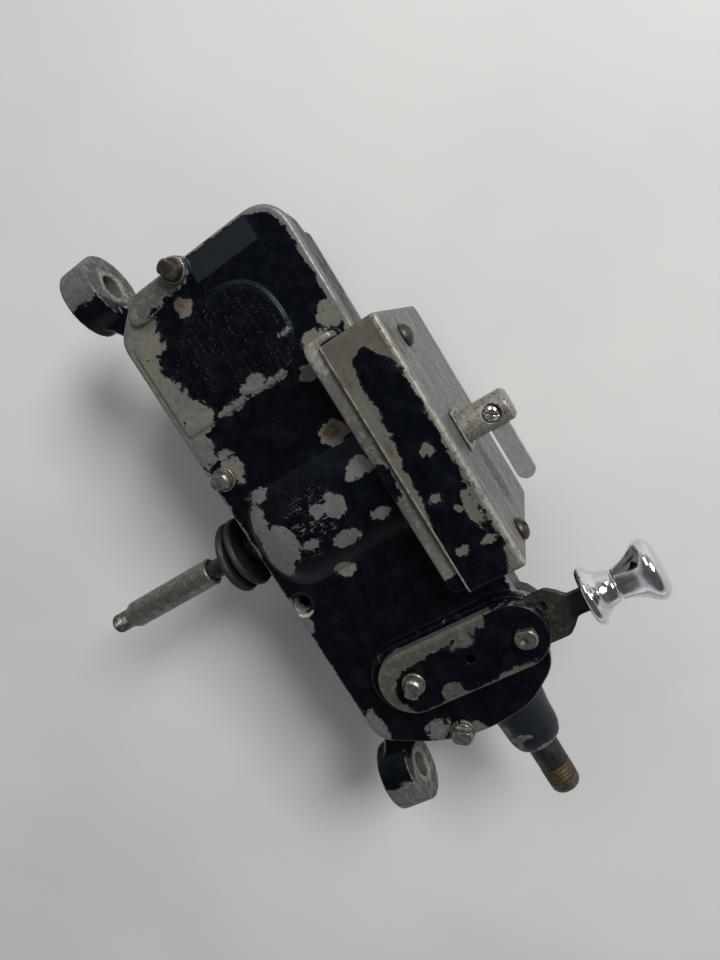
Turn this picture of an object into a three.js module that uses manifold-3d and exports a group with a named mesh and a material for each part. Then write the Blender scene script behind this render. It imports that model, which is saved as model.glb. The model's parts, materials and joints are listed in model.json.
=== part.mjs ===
// Electric windscreen wiper motor: die-cast case, through spindle, switch box and pull-out park knob.
//
// Frame, in millimetres: X runs along the case, with the cable gland at +X. Y runs along the wiper
// spindle, with the spindle tip at -Y and the driver's switch at +Y. Z rises from the flat back of the
// case (Z = 0) to the side cover. The origin lies on the flat back, under the spindle.
import * as THREE from "three";
import { mergeVertices } from "three/addons/utils/BufferGeometryUtils.js";
import Module from "manifold-3d";

const wasm = await Module();
wasm.setup();

// ---------------------------------------------------------------- driving dimensions

const gap = 0.3; // clearance kept between pieces that touch

// Case: plan outline, then depths along Z.
const caseLeft = -88.2;
const caseRight = 86.9;
const caseFront = -33.3;
const caseBack = 33;
const caseDepth = 70;
const coverThickness = 3.8;
const coverUnderside = caseDepth - coverThickness;
const gasketThickness = 0.6;
const caseTop = coverUnderside - gasketThickness - 2 * gap;
const flangeDepth = 7.5;
const wallThickness = 3.5;
const bodyFront = -31.5;
const bodyBack = 23.3;
const cavityBack = 19.8;

// Spindle, on the line X = 0, Z = spindleHeight.
const spindleHeight = 50;
const spindleRadius = 3.5;
const spindleNeckRadius = 2.3;
const sleeveRadius = 5;
const spindleTip = -111;
const bulgeRadius = 26.5;

// Mounting lugs, with bores that run along Y.
const lugSpacing = 200;
const lugRadius = 12.2;
const lugBoreRadius = 4.2;
const lugFront = -46.5;
const lugBack = -34.5;

// Cover bolts: X and Y of each, and the height of its seat above the cover. One place holds no bolt.
const ribHeight = 1.4;
const boltPlaces = [
  { name: "left", x: -86, y: -3.9, seat: ribHeight },
  { name: "front", x: -26.2, y: -28, seat: 0 },
  { name: "right", x: 82.8, y: -5, seat: 0 },
];
const emptyBoltPlace = { x: 21.5, y: -29.6 };
const boltRadius = 2.5;

// Switch box lid, a folded steel box open towards the case.
const lid = { left: -43.4, right: 38.6, front: 24, back: 42.5, bottom: 7, top: 82, sheet: 1.2 };
const lidScrewX = 34.2;
const lidScrewZ = 61.5;
const switchAxis = { x: -1.5, z: 60 };
const switchShaftRadius = 5.1;
const platformFace = 33;
const plinthFront = 18.8;
const plinthTop = 80.4;

// Park slide and its cover.
const slide = { x: 58.5, bottom: 70.9, top: 73.1, width: 16.2, inner: 2 };
const slideBaseTop = 73.4;
const slideCoverTop = 77.6;
const slideScrews = { frontX: 58.1, frontY: -7.5, rearX: 59.3, rearY: 30.6 };
const knobAxisZ = 72;

// Cable gland, along X.
const gland = { y: 9, z: 50, bore: 3.6, end: 108 };

// Gear train.
const gearModule = 1;
const pinionTeeth = 14;
const quadrantTeeth = 28;
const wheelTeeth = 25;
const pinionRadius = (gearModule * pinionTeeth) / 2;
const quadrantRadius = (gearModule * quadrantTeeth) / 2;
const wheelRadius = (gearModule * wheelTeeth) / 2;
const wormRadius = 4.5;
const crankThrow = 5.3;
const quadrantAxis = { x: pinionRadius + quadrantRadius, z: spindleHeight };
const quadrantArm = 12;
const wheelAxis = { x: 51, z: spindleHeight - quadrantArm };
const motorAxis = { y: -4, z: wheelAxis.z - wheelRadius - wormRadius };

// ---------------------------------------------------------------- materials

const finish = (color, roughness, metalness) => () =>
  new THREE.MeshStandardMaterial({ color, roughness, metalness });
const blackEnamel = finish(0x14161b, 0.42, 0.1);
const wornSteel = finish(0x8f8d84, 0.42, 0.9);
const rustySteel = finish(0x5a4a40, 0.6, 0.7);
const chrome = finish(0xd5d8dc, 0.12, 1);
const blackRubber = finish(0x111214, 0.8, 0);
const bronze = finish(0x9a7440, 0.4, 0.9);
const brass = finish(0xa5702d, 0.45, 0.85);
const copper = finish(0x9b5230, 0.4, 0.9);
const bakelite = finish(0x2b1a12, 0.5, 0);
const darkTube = finish(0x1a1a1c, 0.55, 0.2);
const softIron = finish(0x4c4d50, 0.5, 0.8);
const carbon = finish(0x1b1b1b, 0.7, 0.1);
const gasketPaper = finish(0x6b5a3a, 0.9, 0);
const springSteel = finish(0x9a9a98, 0.35, 0.9);
const fibre = finish(0x6d4a2c, 0.6, 0);

// ---------------------------------------------------------------- geometry helpers

const unitX = new THREE.Vector3(1, 0, 0);
const unitY = new THREE.Vector3(0, 1, 0);
const unitZ = new THREE.Vector3(0, 0, 1);

// A prism's shape is drawn in the plane named first and pushed out along the axis named last.
const prismTurns = {
  x: new THREE.Matrix4().makeBasis(unitY, unitZ, unitX),
  y: new THREE.Matrix4().makeBasis(unitX, unitZ, unitY.clone().negate()),
  z: new THREE.Matrix4(),
};

// A round piece is drawn along local Z and laid along the named axis.
const roundTurns = {
  x: new THREE.Matrix4().makeRotationY(Math.PI / 2),
  y: new THREE.Matrix4().makeRotationX(-Math.PI / 2),
  z: new THREE.Matrix4(),
};

// A closed geometry as a solid for cutting and joining.
function solid(geometry) {
  const bare = geometry.clone();
  bare.deleteAttribute("normal");
  bare.deleteAttribute("uv");
  const merged = mergeVertices(bare, 1e-4);
  const vertProperties = new Float32Array(merged.attributes.position.array);
  const triVerts = new Uint32Array(merged.index.array);
  return new wasm.Manifold(new wasm.Mesh({ numProp: 3, vertProperties, triVerts }));
}

// A solid back as a geometry that three.js can draw.
function geometryOf(body) {
  const { vertProperties, triVerts } = body.getMesh();
  const indexed = new THREE.BufferGeometry();
  indexed.setAttribute("position", new THREE.BufferAttribute(vertProperties, 3));
  indexed.setIndex(new THREE.BufferAttribute(triVerts, 1));
  const flat = indexed.toNonIndexed();
  flat.computeVertexNormals();
  return flat;
}

const join = (...geometries) => geometries.map(solid).reduce((whole, piece) => whole.add(piece));

function block(x0, x1, y0, y1, z0, z1) {
  const middle = [(x0 + x1) / 2, (y0 + y1) / 2, (z0 + z1) / 2];
  return new THREE.BoxGeometry(x1 - x0, y1 - y0, z1 - z0).translate(...middle);
}

// A prism of a shape from one place to another along an axis.
function prism(axis, shape, from, to, curveSegments = 5) {
  const depth = to - from;
  const start = axis === "y" ? -to : from;
  const settings = { depth, bevelEnabled: false, curveSegments };
  return new THREE.ExtrudeGeometry(shape, settings).translate(0, 0, start).applyMatrix4(prismTurns[axis]);
}

// A round bar or cone along an axis, centred on the other two coordinates.
function bar(axis, radius, from, to, centre = [0, 0, 0], sides = 16) {
  return new THREE.CylinderGeometry(radius, radius, to - from, sides)
    .rotateX(Math.PI / 2)
    .translate(0, 0, (from + to) / 2)
    .applyMatrix4(roundTurns[axis])
    .translate(...centre);
}

// A turned piece. The profile lists [radius, place along the axis], starting and ending on the axis.
function turned(axis, profile, centre = [0, 0, 0], sides = 20) {
  const points = profile.map(([radius, place]) => new THREE.Vector2(radius, place));
  return new THREE.LatheGeometry(points, sides)
    .rotateX(Math.PI / 2)
    .applyMatrix4(roundTurns[axis])
    .translate(...centre);
}

// A tube along an axis.
function tube(axis, outer, inner, from, to, centre = [0, 0, 0], sides = 20) {
  const core = solid(bar(axis, outer, from, to, centre, sides));
  return core.subtract(solid(bar(axis, inner, from - 1, to + 1, centre, sides)));
}

// An outline through corners [x, y, reach], each rounded over its reach along both edges.
function roundedOutline(corners) {
  const shape = new THREE.Shape();
  const count = corners.length;
  corners.forEach(([x, y, reach], index) => {
    const before = corners[(index + count - 1) % count];
    const after = corners[(index + 1) % count];
    const towards = ([toX, toY]) => {
      const length = Math.hypot(toX - x, toY - y);
      return [x + ((toX - x) * reach) / length, y + ((toY - y) * reach) / length];
    };
    const entry = towards(before);
    const exit = towards(after);
    if (index === 0) shape.moveTo(...entry);
    else shape.lineTo(...entry);
    if (reach > 0) shape.quadraticCurveTo(x, y, ...exit);
  });
  shape.closePath();
  return shape;
}

// A slot-shaped outline, long along Y, between two centres.
function obround(x, y0, y1, radius) {
  const shape = new THREE.Shape();
  shape.absarc(x, y0, radius, Math.PI, 2 * Math.PI, false);
  shape.absarc(x, y1, radius, 0, Math.PI, false);
  shape.closePath();
  return shape;
}

// The case's plan outline, moved inwards by an inset.
function caseOutline(inset) {
  const left = caseLeft + inset;
  const front = caseFront + inset;
  const back = caseBack - inset;
  return roundedOutline([
    [left, back, 11.5],
    [left, -22, 4],
    [-78.5, front, 4],
    [75.5 - inset / 2, front, 6],
    [caseRight - 2.4 - inset, -14, 8],
    [caseRight - inset, 3, 9],
    [caseRight - 2.9 - inset, 19, 5],
    [74 - inset / 2, back, 7],
  ]);
}

// A gear's outline about the origin, with the middle of its first tooth at the given angle.
function gearOutline(teeth, rootRadius, tipRadius, firstAngle, rootShare = 0.3, tipShare = 0.12) {
  const pitch = (2 * Math.PI) / teeth;
  const points = [];
  for (let tooth = 0; tooth < teeth; tooth += 1) {
    const middle = firstAngle + tooth * pitch;
    const corners = [
      [rootRadius, -rootShare],
      [tipRadius, -tipShare],
      [tipRadius, tipShare],
      [rootRadius, rootShare],
    ];
    for (const [radius, share] of corners) {
      const angle = middle + share * pitch;
      points.push(new THREE.Vector2(radius * Math.cos(angle), radius * Math.sin(angle)));
    }
  }
  return new THREE.Shape(points);
}

const parts = new THREE.Group();

// Adds one named piece, given as a geometry or a solid, to a group.
function piece(name, body, material, group = parts) {
  const geometry = body.isBufferGeometry ? body : geometryOf(body);
  const mesh = new THREE.Mesh(geometry, material());
  mesh.name = name;
  group.add(mesh);
  return mesh;
}

// A group whose origin lies on an axis of the mechanism.
function axisGroup(x, y, z) {
  const group = new THREE.Group();
  group.position.set(x, y, z);
  parts.add(group);
  return group;
}

// ---------------------------------------------------------------- shared cutting solids

const spindleLine = [0, 0, spindleHeight];
const quadrantLine = [quadrantAxis.x, 0, quadrantAxis.z];
const wheelLine = [wheelAxis.x, 0, wheelAxis.z];
const motorLine = [0, motorAxis.y, motorAxis.z];
const switchLine = [switchAxis.x, 0, switchAxis.z];
const glandLine = [0, gland.y, gland.z];
const lidScrewLines = [-lidScrewX, lidScrewX].map((x) => [x, 0, lidScrewZ]);
const allBoltPlaces = [...boltPlaces, emptyBoltPlace];

// The outline of the lid in the X-Z plane, moved inwards by an inset.
function lidOutline(inset) {
  return roundedOutline([
    [lid.left + inset, lid.bottom + inset, 4 - inset],
    [lid.right - inset, lid.bottom + inset, 4 - inset],
    [lid.right - inset, lid.top - inset, 1.6 - inset / 2],
    [lid.left + inset, lid.top - inset, 1.6 - inset / 2],
  ]);
}

// The room that the lid's walls need in the castings around them.
function lidChannel() {
  const clearance = gap + 0.05;
  const outside = solid(prism("y", lidOutline(-clearance), lid.front - clearance, lid.back + 5));
  return outside.subtract(solid(prism("y", lidOutline(lid.sheet + clearance), 0, lid.back + 9)));
}

// The hollow inside the case, up to a height.
function caseCavity(top) {
  const inset = 4.5;
  const cavityFront = -28;
  const section = roundedOutline([
    [cavityFront, wallThickness, 8],
    [cavityBack, wallThickness, 8],
    [cavityBack, top, 0],
    [cavityFront, top, 0],
  ]);
  const plan = solid(prism("z", caseOutline(inset), wallThickness, top));
  return plan.intersect(solid(prism("x", section, caseLeft, caseRight)));
}

function boltPosts(radius, from, to) {
  return join(...allBoltPlaces.map(({ x, y }) => bar("z", radius, from, to, [x, y, 0], 12)));
}

const boltHoles = (from, to) => boltPosts(boltRadius + gap, from, to);

// ---------------------------------------------------------------- case

function makeHousing() {
  const section = roundedOutline([
    [bodyFront, 0, 9.5],
    [bodyBack, 0, 9.5],
    [bodyBack, 47, 2],
    [30.5, 55, 2],
    [30.5, caseTop, 0],
    [bodyFront, caseTop, 0],
  ]);
  const trunk = solid(prism("z", caseOutline(1.6), 0, caseTop));
  const body = trunk.intersect(solid(prism("x", section, caseLeft - 4, caseRight + 4)));
  const flange = solid(prism("z", caseOutline(0.5), caseTop - flangeDepth, caseTop));
  const slideShelf = solid(prism("z", obround(slide.x, -10, 26.6, 10.8), caseTop - flangeDepth, caseTop));
  const platform = solid(block(-41.5, 36.7, 18, platformFace, lid.bottom + 1.8, caseTop));
  const lidPosts = join(...lidScrewLines.map((line) => bar("y", 3.2, platformFace - 1, 41, line, 16)));
  const bell = solid(
    turned("x", [
      [0, 72], [11.5, 72], [11.5, 86], [10.4, 91], [9.6, 97], [9.3, 103.5],
      [8.3, 106.6], [6.3, gland.end], [0, gland.end],
    ], glandLine, 20),
  );
  let housing = body.add(flange).add(slideShelf).add(platform).add(lidPosts).add(bell);
  housing = housing.add(boltPosts(4.4, 44, caseTop));
  housing = housing.add(solid(bar("y", 8.5, -40.5, bodyFront + 2, spindleLine)));
  for (const side of [-1, 1]) housing = housing.add(makeLug(side));

  housing = housing.subtract(caseCavity(caseTop + 1));
  housing = housing.add(boltPosts(4.4, 44, caseTop));
  housing = housing.add(innerBosses());
  housing = housing.subtract(boltHoles(50, caseTop + 1));
  housing = housing.subtract(innerBores());
  housing = housing.subtract(lidChannel());
  return housing;
}

// One stand-off lug with its web to the case corner. side is -1 for the left and 1 for the right.
function makeLug(side) {
  const x = (side * lugSpacing) / 2;
  const centre = [x, 0, spindleHeight];
  const root = side < 0 ? [[76, -33], [82, -22]] : [[70, -31], [78, -16]];
  const web = new THREE.Shape(
    [[97, -45], [92, -45], ...root, [94.6, -35.5]].map(
      ([across, y]) => new THREE.Vector2(side * across, y),
    ),
  );
  const lug = join(
    bar("y", lugRadius, lugFront, lugBack, centre, 24),
    prism("z", web, spindleHeight - 5.5, spindleHeight + 5.5),
  );
  return lug.subtract(solid(bar("y", lugBoreRadius, lugFront - 1, lugBack + 8, centre, 16)));
}

// Bosses inside the case that carry bushes, pins and bearings.
function innerBosses() {
  return join(
    bar("y", 8.5, -29, -24.5, spindleLine),
    bar("y", 7, 12, cavityBack + 1, spindleLine),
    bar("y", 5.5, -29, -23.2, quadrantLine, 20),
    bar("y", 6.5, 7, cavityBack + 1, wheelLine, 20),
    bar("x", 7.5, -85, -78, motorLine, 20),
    bar("x", 7.5, 71.5, 83.5, motorLine, 20),
  );
}

function innerBores() {
  const switchPocket = block(-34, 30, 24, platformFace + 1, 20, 50);
  return join(
    bar("y", 5.3, -41, -24, spindleLine),
    bar("y", 4.8, 11, cavityBack, spindleLine),
    bar("y", 2.8, -30.3, -23, quadrantLine, 20),
    bar("y", 3.3, 6, cavityBack, wheelLine, 20),
    bar("x", 4.8, -83.4, -77, motorLine, 20),
    bar("x", 4.8, 70, 80.2, motorLine, 20),
    bar("x", gland.bore, 70, gland.end + 1, glandLine, 20),
    bar("y", 3.1, 26, platformFace + 1, switchLine, 16),
    ...lidScrewLines.map((line) => bar("y", 1.9, 34, 42, line, 12)),
    switchPocket,
  );
}

function makeCover() {
  const plate = prism("z", caseOutline(0), coverUnderside, caseDepth);
  const pad = roundedOutline([
    [-74.8, -30.5, 3], [-42.6, -30.5, 1], [-42.6, 17.3, 16], [-74.8, 17.3, 16],
  ]);
  const rib = roundedOutline([
    [-87, -23, 1], [-80.2, -26.4, 2.5], [-78.6, -21.5, 2.5], [-81.2, -2, 2], [-87.6, -2, 0.5],
  ]);
  const plinthEdge = roundedOutline([
    [-46, plinthFront, 3], [37.6, plinthFront, 3], [37.6, 28.5, 1], [-46, 28.5, 1],
  ]);
  const plinthInside = block(-41.5, 36.7, plinthFront + 2, platformFace, coverUnderside, plinthTop);
  const slideBase = prism("z", obround(58.3, -10.3, 26, 12.4), caseDepth - 1, slideBaseTop);
  const baseRoot = prism("z", obround(58.3, -10.3, 26, 11.4), coverUnderside, caseDepth - 0.5);
  const bulge = solid(
    turned("y", [
      [0, -31.2], [20, -31.2], [22.5, -29.6], [24.6, -27], [26, -23.5], [bulgeRadius, -20],
      [bulgeRadius, 22], [0, 22],
    ], spindleLine, 36),
  ).intersect(solid(block(-30, 30, -34, 24, coverUnderside, 80)));
  const boltLobes = join(
    ...boltPlaces.map(({ x, y, seat }) => bar("z", 4.2, coverUnderside, caseDepth + seat, [x, y, 0], 20)),
  );
  let cover = join(
    plate,
    prism("z", pad, caseDepth - 1, caseDepth + 0.8, 6),
    prism("z", rib, caseDepth - 1, caseDepth + ribHeight, 4),
    prism("z", plinthEdge, coverUnderside, plinthTop, 4),
    plinthInside,
    slideBase,
    baseRoot,
  );
  cover = cover.add(bulge).add(boltLobes);

  const bulgeHollow = turned("y", [
    [0, -27.2], [19, -27.2], [21.6, -25], [23, -21.5], [23, 16], [0, 16],
  ], spindleLine, 24);
  cover = cover.subtract(solid(bulgeHollow));
  cover = cover.subtract(solid(block(-38, 33, 22.4, 30, coverUnderside - 1, 77)));
  cover = cover.subtract(solid(block(50, 67, -16, 45, slide.bottom - gap, slideBaseTop + 1)));
  cover = cover.subtract(boltHoles(coverUnderside - 1, caseDepth + ribHeight + 1));
  const emptyCentre = [emptyBoltPlace.x, emptyBoltPlace.y, 0];
  cover = cover.subtract(solid(bar("z", 4.1, caseDepth - 0.8, caseDepth + 1, emptyCentre)));
  for (const [x, y] of slideScrewPlaces()) {
    cover = cover.subtract(solid(bar("z", 2 + gap, coverUnderside - 1, caseDepth + 2, [x, y, 0], 16)));
  }
  return cover.subtract(lidChannel());
}

const slideScrewPlaces = () => [
  [slideScrews.frontX, slideScrews.frontY],
  [slideScrews.rearX, slideScrews.rearY],
];

function makeGasket() {
  const bottom = caseTop + gap;
  const top = bottom + gasketThickness;
  let gasket = solid(prism("z", caseOutline(0.9), bottom, top));
  gasket = gasket.subtract(caseCavity(top + 1));
  gasket = gasket.add(boltPosts(4.1, bottom, top));
  gasket = gasket.subtract(boltHoles(bottom - 1, top + 1));
  return gasket.subtract(lidChannel());
}

// ---------------------------------------------------------------- fasteners

// A bolt drawn along Z with the underside of its head at zero: a round head with two flats.
function flatSidedBolt(headRadius, headHeight, flats, shankRadius, shankLength) {
  const rim = headRadius - 0.5;
  const head = solid(
    turned("z", [
      [0, 0], [headRadius, 0], [headRadius, headHeight - 0.5], [rim, headHeight], [0, headHeight],
    ]),
  ).intersect(solid(block(-headRadius - 1, headRadius + 1, -flats / 2, flats / 2, -1, headHeight + 1)));
  const collar = solid(bar("z", headRadius, 0, 0.7));
  return head.add(collar).add(solid(bar("z", shankRadius, -shankLength, 0.2, [0, 0, 0], 16)));
}

// A split spring washer drawn along Z from zero.
function springWasher(outer, inner, thickness) {
  const ring = tube("z", outer, inner, 0, thickness);
  return ring.subtract(solid(block(inner - 1, outer + 1, -0.4, 0.4, -1, thickness + 1)));
}

// A slotted round-head screw drawn along Z with the underside of its head at zero.
function roundHeadScrew(headRadius, headHeight, shankRadius, shankLength) {
  const dome = [[0, 0], [headRadius, 0]];
  for (let step = 1; step < 5; step += 1) {
    const angle = (step * Math.PI) / 10;
    dome.push([headRadius * Math.cos(angle), headHeight * Math.sin(angle)]);
  }
  dome.push([0, headHeight]);
  const head = solid(turned("z", dome, [0, 0, 0], 20));
  const slot = solid(block(-headRadius - 1, headRadius + 1, -0.5, 0.5, headHeight - 1.1, headHeight + 1));
  return head.subtract(slot).add(solid(bar("z", shankRadius, -shankLength, 0.2, [0, 0, 0], 12)));
}

function addCoverBolts() {
  const washerThickness = 1.3;
  const turns = { left: 0.5, front: 0.2, right: -0.6 };
  for (const { name, x, y, seat } of boltPlaces) {
    const washerBottom = caseDepth + seat + gap;
    const ring = springWasher(3.95, boltRadius + gap, washerThickness);
    const washer = piece(`spring_washer_${name}`, ring, wornSteel);
    washer.position.set(x, y, washerBottom);
    washer.rotation.z = 2 + turns[name];
    const bolt = piece(`cover_bolt_${name}`, flatSidedBolt(3.5, 3.6, 4.8, boltRadius, 18), wornSteel);
    bolt.position.set(x, y, washerBottom + washerThickness + gap);
    bolt.rotation.z = turns[name];
  }
}

// ---------------------------------------------------------------- switch

function makeLid() {
  const shell = solid(prism("y", lidOutline(0), lid.front, lid.back));
  const inside = solid(prism("y", lidOutline(lid.sheet), lid.front - 1, lid.back - lid.sheet));
  const holes = join(
    bar("y", switchShaftRadius + 0.4, lid.back - 3, lid.back + 1, switchLine),
    ...lidScrewLines.map((line) => bar("y", 1.9, lid.back - 3, lid.back + 1, line, 12)),
  );
  return shell.subtract(inside).subtract(holes);
}

function addSwitchBox() {
  piece("switch_box_lid", makeLid(), wornSteel);
  const sides = { left: lidScrewLines[0], right: lidScrewLines[1] };
  for (const [side, [x, , z]] of Object.entries(sides)) {
    const screw = piece(`lid_screw_${side}`, roundHeadScrew(3.7, 2.5, 1.55, 7), rustySteel);
    screw.position.set(x, lid.back + gap, z);
    screw.rotation.set(-Math.PI / 2, 0, 0);
  }
  const plateBottom = lid.back + gap;
  const plate = solid(block(-8, 5.2, plateBottom, plateBottom + 0.8, 54, 66));
  const plateHole = solid(bar("y", switchShaftRadius + 0.4, plateBottom - 1, plateBottom + 2, switchLine));
  piece("shaft_plate", plate.subtract(plateHole), darkTube);

  const boardFront = platformFace + gap;
  const boardBack = boardFront + 2;
  const board = solid(block(-29, 28, boardFront, boardBack, 12, 76));
  const boardHole = solid(bar("y", 3.1, boardFront - 1, boardBack + 1, switchLine, 16));
  piece("switch_base", board.subtract(boardHole), bakelite);
  const terminals = { feed: -20, motor: 17 };
  for (const [name, x] of Object.entries(terminals)) {
    const strip = join(
      block(x - 3.5, x + 3.5, boardBack + gap, boardBack + 1.1, 26, 62),
      bar("y", 2.6, boardBack + 1, boardBack + 3.2, [x, 0, 32], 16),
      block(x - 2.5, x + 2.5, boardBack + 0.4, boardBack + 3.4, 58, 61),
    );
    piece(`terminal_${name}`, strip, brass);
  }
}

function addSwitchSpindle() {
  const group = axisGroup(switchAxis.x, 0, switchAxis.z);
  const slot = { front: 50, back: 56.6, low: -1.5, high: 1.5 };
  const lever = { front: 50.3, back: 56.3, low: -1.15, high: 1.15, start: -4, end: 23 };
  const screwY = (lever.front + lever.back) / 2;
  const shaft = solid(
    turned("y", [
      [0, 27.5], [2.8, 27.5], [2.8, 35.7], [switchShaftRadius, 35.7], [switchShaftRadius, 58.3],
      [switchShaftRadius - 1, 59.3], [0, 59.3],
    ], [0, 0, 0], 28),
  );
  const cuts = join(
    block(lever.start - gap, 9, slot.front, slot.back, slot.low, slot.high),
    bar("z", 1.5, 0, 9, [0, screwY, 0], 12),
    bar("z", 2.9, 3.4, 9, [0, screwY, 0], 20),
  );
  piece("switch_shaft", shaft.subtract(cuts), wornSteel, group);

  const halfWidth = (lever.back - lever.front) / 2;
  const outline = new THREE.Shape();
  outline.moveTo(lever.start, lever.front);
  outline.lineTo(lever.end - halfWidth, lever.front);
  outline.absarc(lever.end - halfWidth, screwY, halfWidth, -Math.PI / 2, Math.PI / 2, false);
  outline.lineTo(lever.start, lever.back);
  outline.closePath();
  piece("switch_lever", solid(prism("z", outline, lever.low, lever.high)), chrome, group);

  const screw = piece("lever_screw", roundHeadScrew(2.5, 1.5, 1.2, 2.1), chrome, group);
  screw.position.set(0, screwY, 3.4 + gap);

  const rotor = { front: 36.6, back: 40.3 };
  const disc = join(
    bar("y", 8, rotor.front, rotor.back),
    block(-11.5, 11.5, rotor.front, rotor.back, -2.4, 2.4),
  );
  const bore = solid(bar("y", switchShaftRadius + gap, rotor.front - 1, rotor.back + 1, [0, 0, 0], 28));
  piece("contact_rotor", disc.subtract(bore), bakelite, group);
}

// ---------------------------------------------------------------- park slide and knob

function addSlideCover() {
  const bottom = slideBaseTop + gap;
  const shell = join(
    prism("z", obround(58.1, -8.6, 27.2, 10.7), bottom, slideCoverTop - 0.9),
    prism("z", obround(58.1, -8.6, 27.2, 10), bottom + 1, slideCoverTop),
  );
  const cuts = join(
    prism("z", obround(58.1, 0, 19.5, 6.5), bottom - 1, bottom + 2),
    bar("z", 1.5, bottom - 1, slideCoverTop + 1, [58.7, 12.2, 0], 14),
    ...slideScrewPlaces().map(([x, y]) => bar("z", 2 + gap, bottom - 1, slideCoverTop + 1, [x, y, 0], 16)),
  );
  piece("slide_cover", shell.subtract(cuts), blackEnamel);

  const washerThickness = 1.2;
  const washerBottom = slideCoverTop + gap;
  const headBottom = washerBottom + washerThickness + gap;
  const washer = piece("slide_washer", springWasher(3.7, 2 + gap, washerThickness), wornSteel);
  washer.position.set(slideScrews.frontX, slideScrews.frontY, washerBottom);
  const shankEnd = coverUnderside + 0.5;
  const front = piece("slide_screw_front", flatSidedBolt(3.4, 3.6, 4.8, 2, headBottom - shankEnd), wornSteel);
  front.position.set(slideScrews.frontX, slideScrews.frontY, headBottom);
  front.rotation.z = 0.4;

  const rearShank = solid(bar("z", 2, shankEnd - washerBottom, 0.2, [0, 0, 0], 16));
  const rearHead = solid(turned("z", [[0, 0], [3.5, 0], [3.5, 1.8], [2.9, 2.4], [0, 2.4]]))
    .intersect(solid(block(-4, 4, -2.8, 2.8, -1, 3)));
  const socket = solid(bar("z", 1.2, 1.2, 4, [-0.7, 0, 0], 12));
  const rear = piece("slide_screw_rear", rearHead.add(rearShank).subtract(socket), wornSteel);
  rear.position.set(slideScrews.rearX, slideScrews.rearY, washerBottom);
  rear.rotation.z = 0.2;
}

function addParkSlide() {
  const half = slide.width / 2;
  const barHalf = 3.6;
  const barEnd = 50.5;
  const shoulder = 41.5;
  const right = [
    [half, slide.inner], [half, shoulder], [half - 2.1, shoulder + 2.5], [barHalf, shoulder + 4.7],
  ];
  const outline = [...right, [barHalf, barEnd]];
  const mirrored = [...outline].reverse().map(([x, y]) => [-x, y]);
  const corners = [...outline, ...mirrored].map(([x, y]) => new THREE.Vector2(slide.x + x, y));
  const plate = solid(prism("z", new THREE.Shape(corners), slide.bottom, slide.top));
  const travel = 8;
  const screwSlot = obround(slideScrews.rearX, slideScrews.rearY - travel - 1, slideScrews.rearY + 0.4, 2.6);
  const cuts = join(
    prism("z", screwSlot, slide.bottom - 1, slide.top + 1),
    block(slide.x - 5.2, slide.x - 2, 36.8, 40.4, slide.bottom - 1, slide.top + 1),
  );
  piece("park_slide", plate.subtract(cuts), rustySteel);

  const group = axisGroup(slide.x, 0, knobAxisZ);
  const knobBase = [
    [0, 50.8], [8.2, 50.8], [9, 51.6], [9, 53.2], [7.9, 53.9], [6.3, 55.4], [5.3, 57.2], [4.8, 59.6], [0, 59.6],
  ];
  const knobCap = [
    [0, 59.9], [4.8, 59.9], [5, 61.6], [5.7, 63.8], [6.9, 66], [8.4, 68], [9.2, 69.4], [9.3, 70.6],
    [8.8, 71.8], [7.4, 72.9], [5, 73.5], [0, 73.7],
  ];
  piece("knob_base", solid(turned("y", knobBase, [0, 0, 0], 32)), chrome, group);
  piece("knob_cap", solid(turned("y", knobCap, [0, 0, 0], 32)), chrome, group);

  const springBottom = slide.bottom;
  const spring = join(
    block(slide.x - 5, slide.x + 5, -13, -2.4, springBottom, springBottom + 0.6),
    block(slide.x - 5, slide.x + 5, -2.8, -2.2, springBottom, springBottom + 1.9),
    block(slide.x - 3, slide.x + 3, -2.4, 1.4, springBottom + 1.3, springBottom + 1.9),
  );
  const springHole = solid(
    bar("z", 2 + gap, springBottom - 1, springBottom + 3, [slideScrews.frontX, slideScrews.frontY, 0], 16),
  );
  piece("detent_spring", spring.subtract(springHole), springSteel);
}

// ---------------------------------------------------------------- cable gland

function addCableNozzle() {
  const group = axisGroup(0, gland.y, gland.z);
  const bored = (profile) => {
    const first = profile[0][1];
    const last = profile[profile.length - 1][1];
    const bore = bar("x", gland.bore, first - 1, last + 1, [0, 0, 0], 20);
    return solid(turned("x", profile, [0, 0, 0], 24)).subtract(solid(bore));
  };
  const start = gland.end + gap;
  piece("cable_nozzle", bored([[0, start], [5.4, start], [5.3, 117.4], [0, 117.4]]), darkTube, group);
  piece("nozzle_ring", bored([
    [0, 117.7], [5.35, 117.7], [5.35, 120.2], [5, 120.5], [5.35, 120.8], [5.35, 123.2], [0, 123.2],
  ]), brass, group);
  piece("nozzle_end", bored([
    [0, 123.5], [5.3, 123.5], [5.2, 126.2], [4.6, 127.3], [0, 127.3],
  ]), bakelite, group);
}

// ---------------------------------------------------------------- spindle

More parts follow.
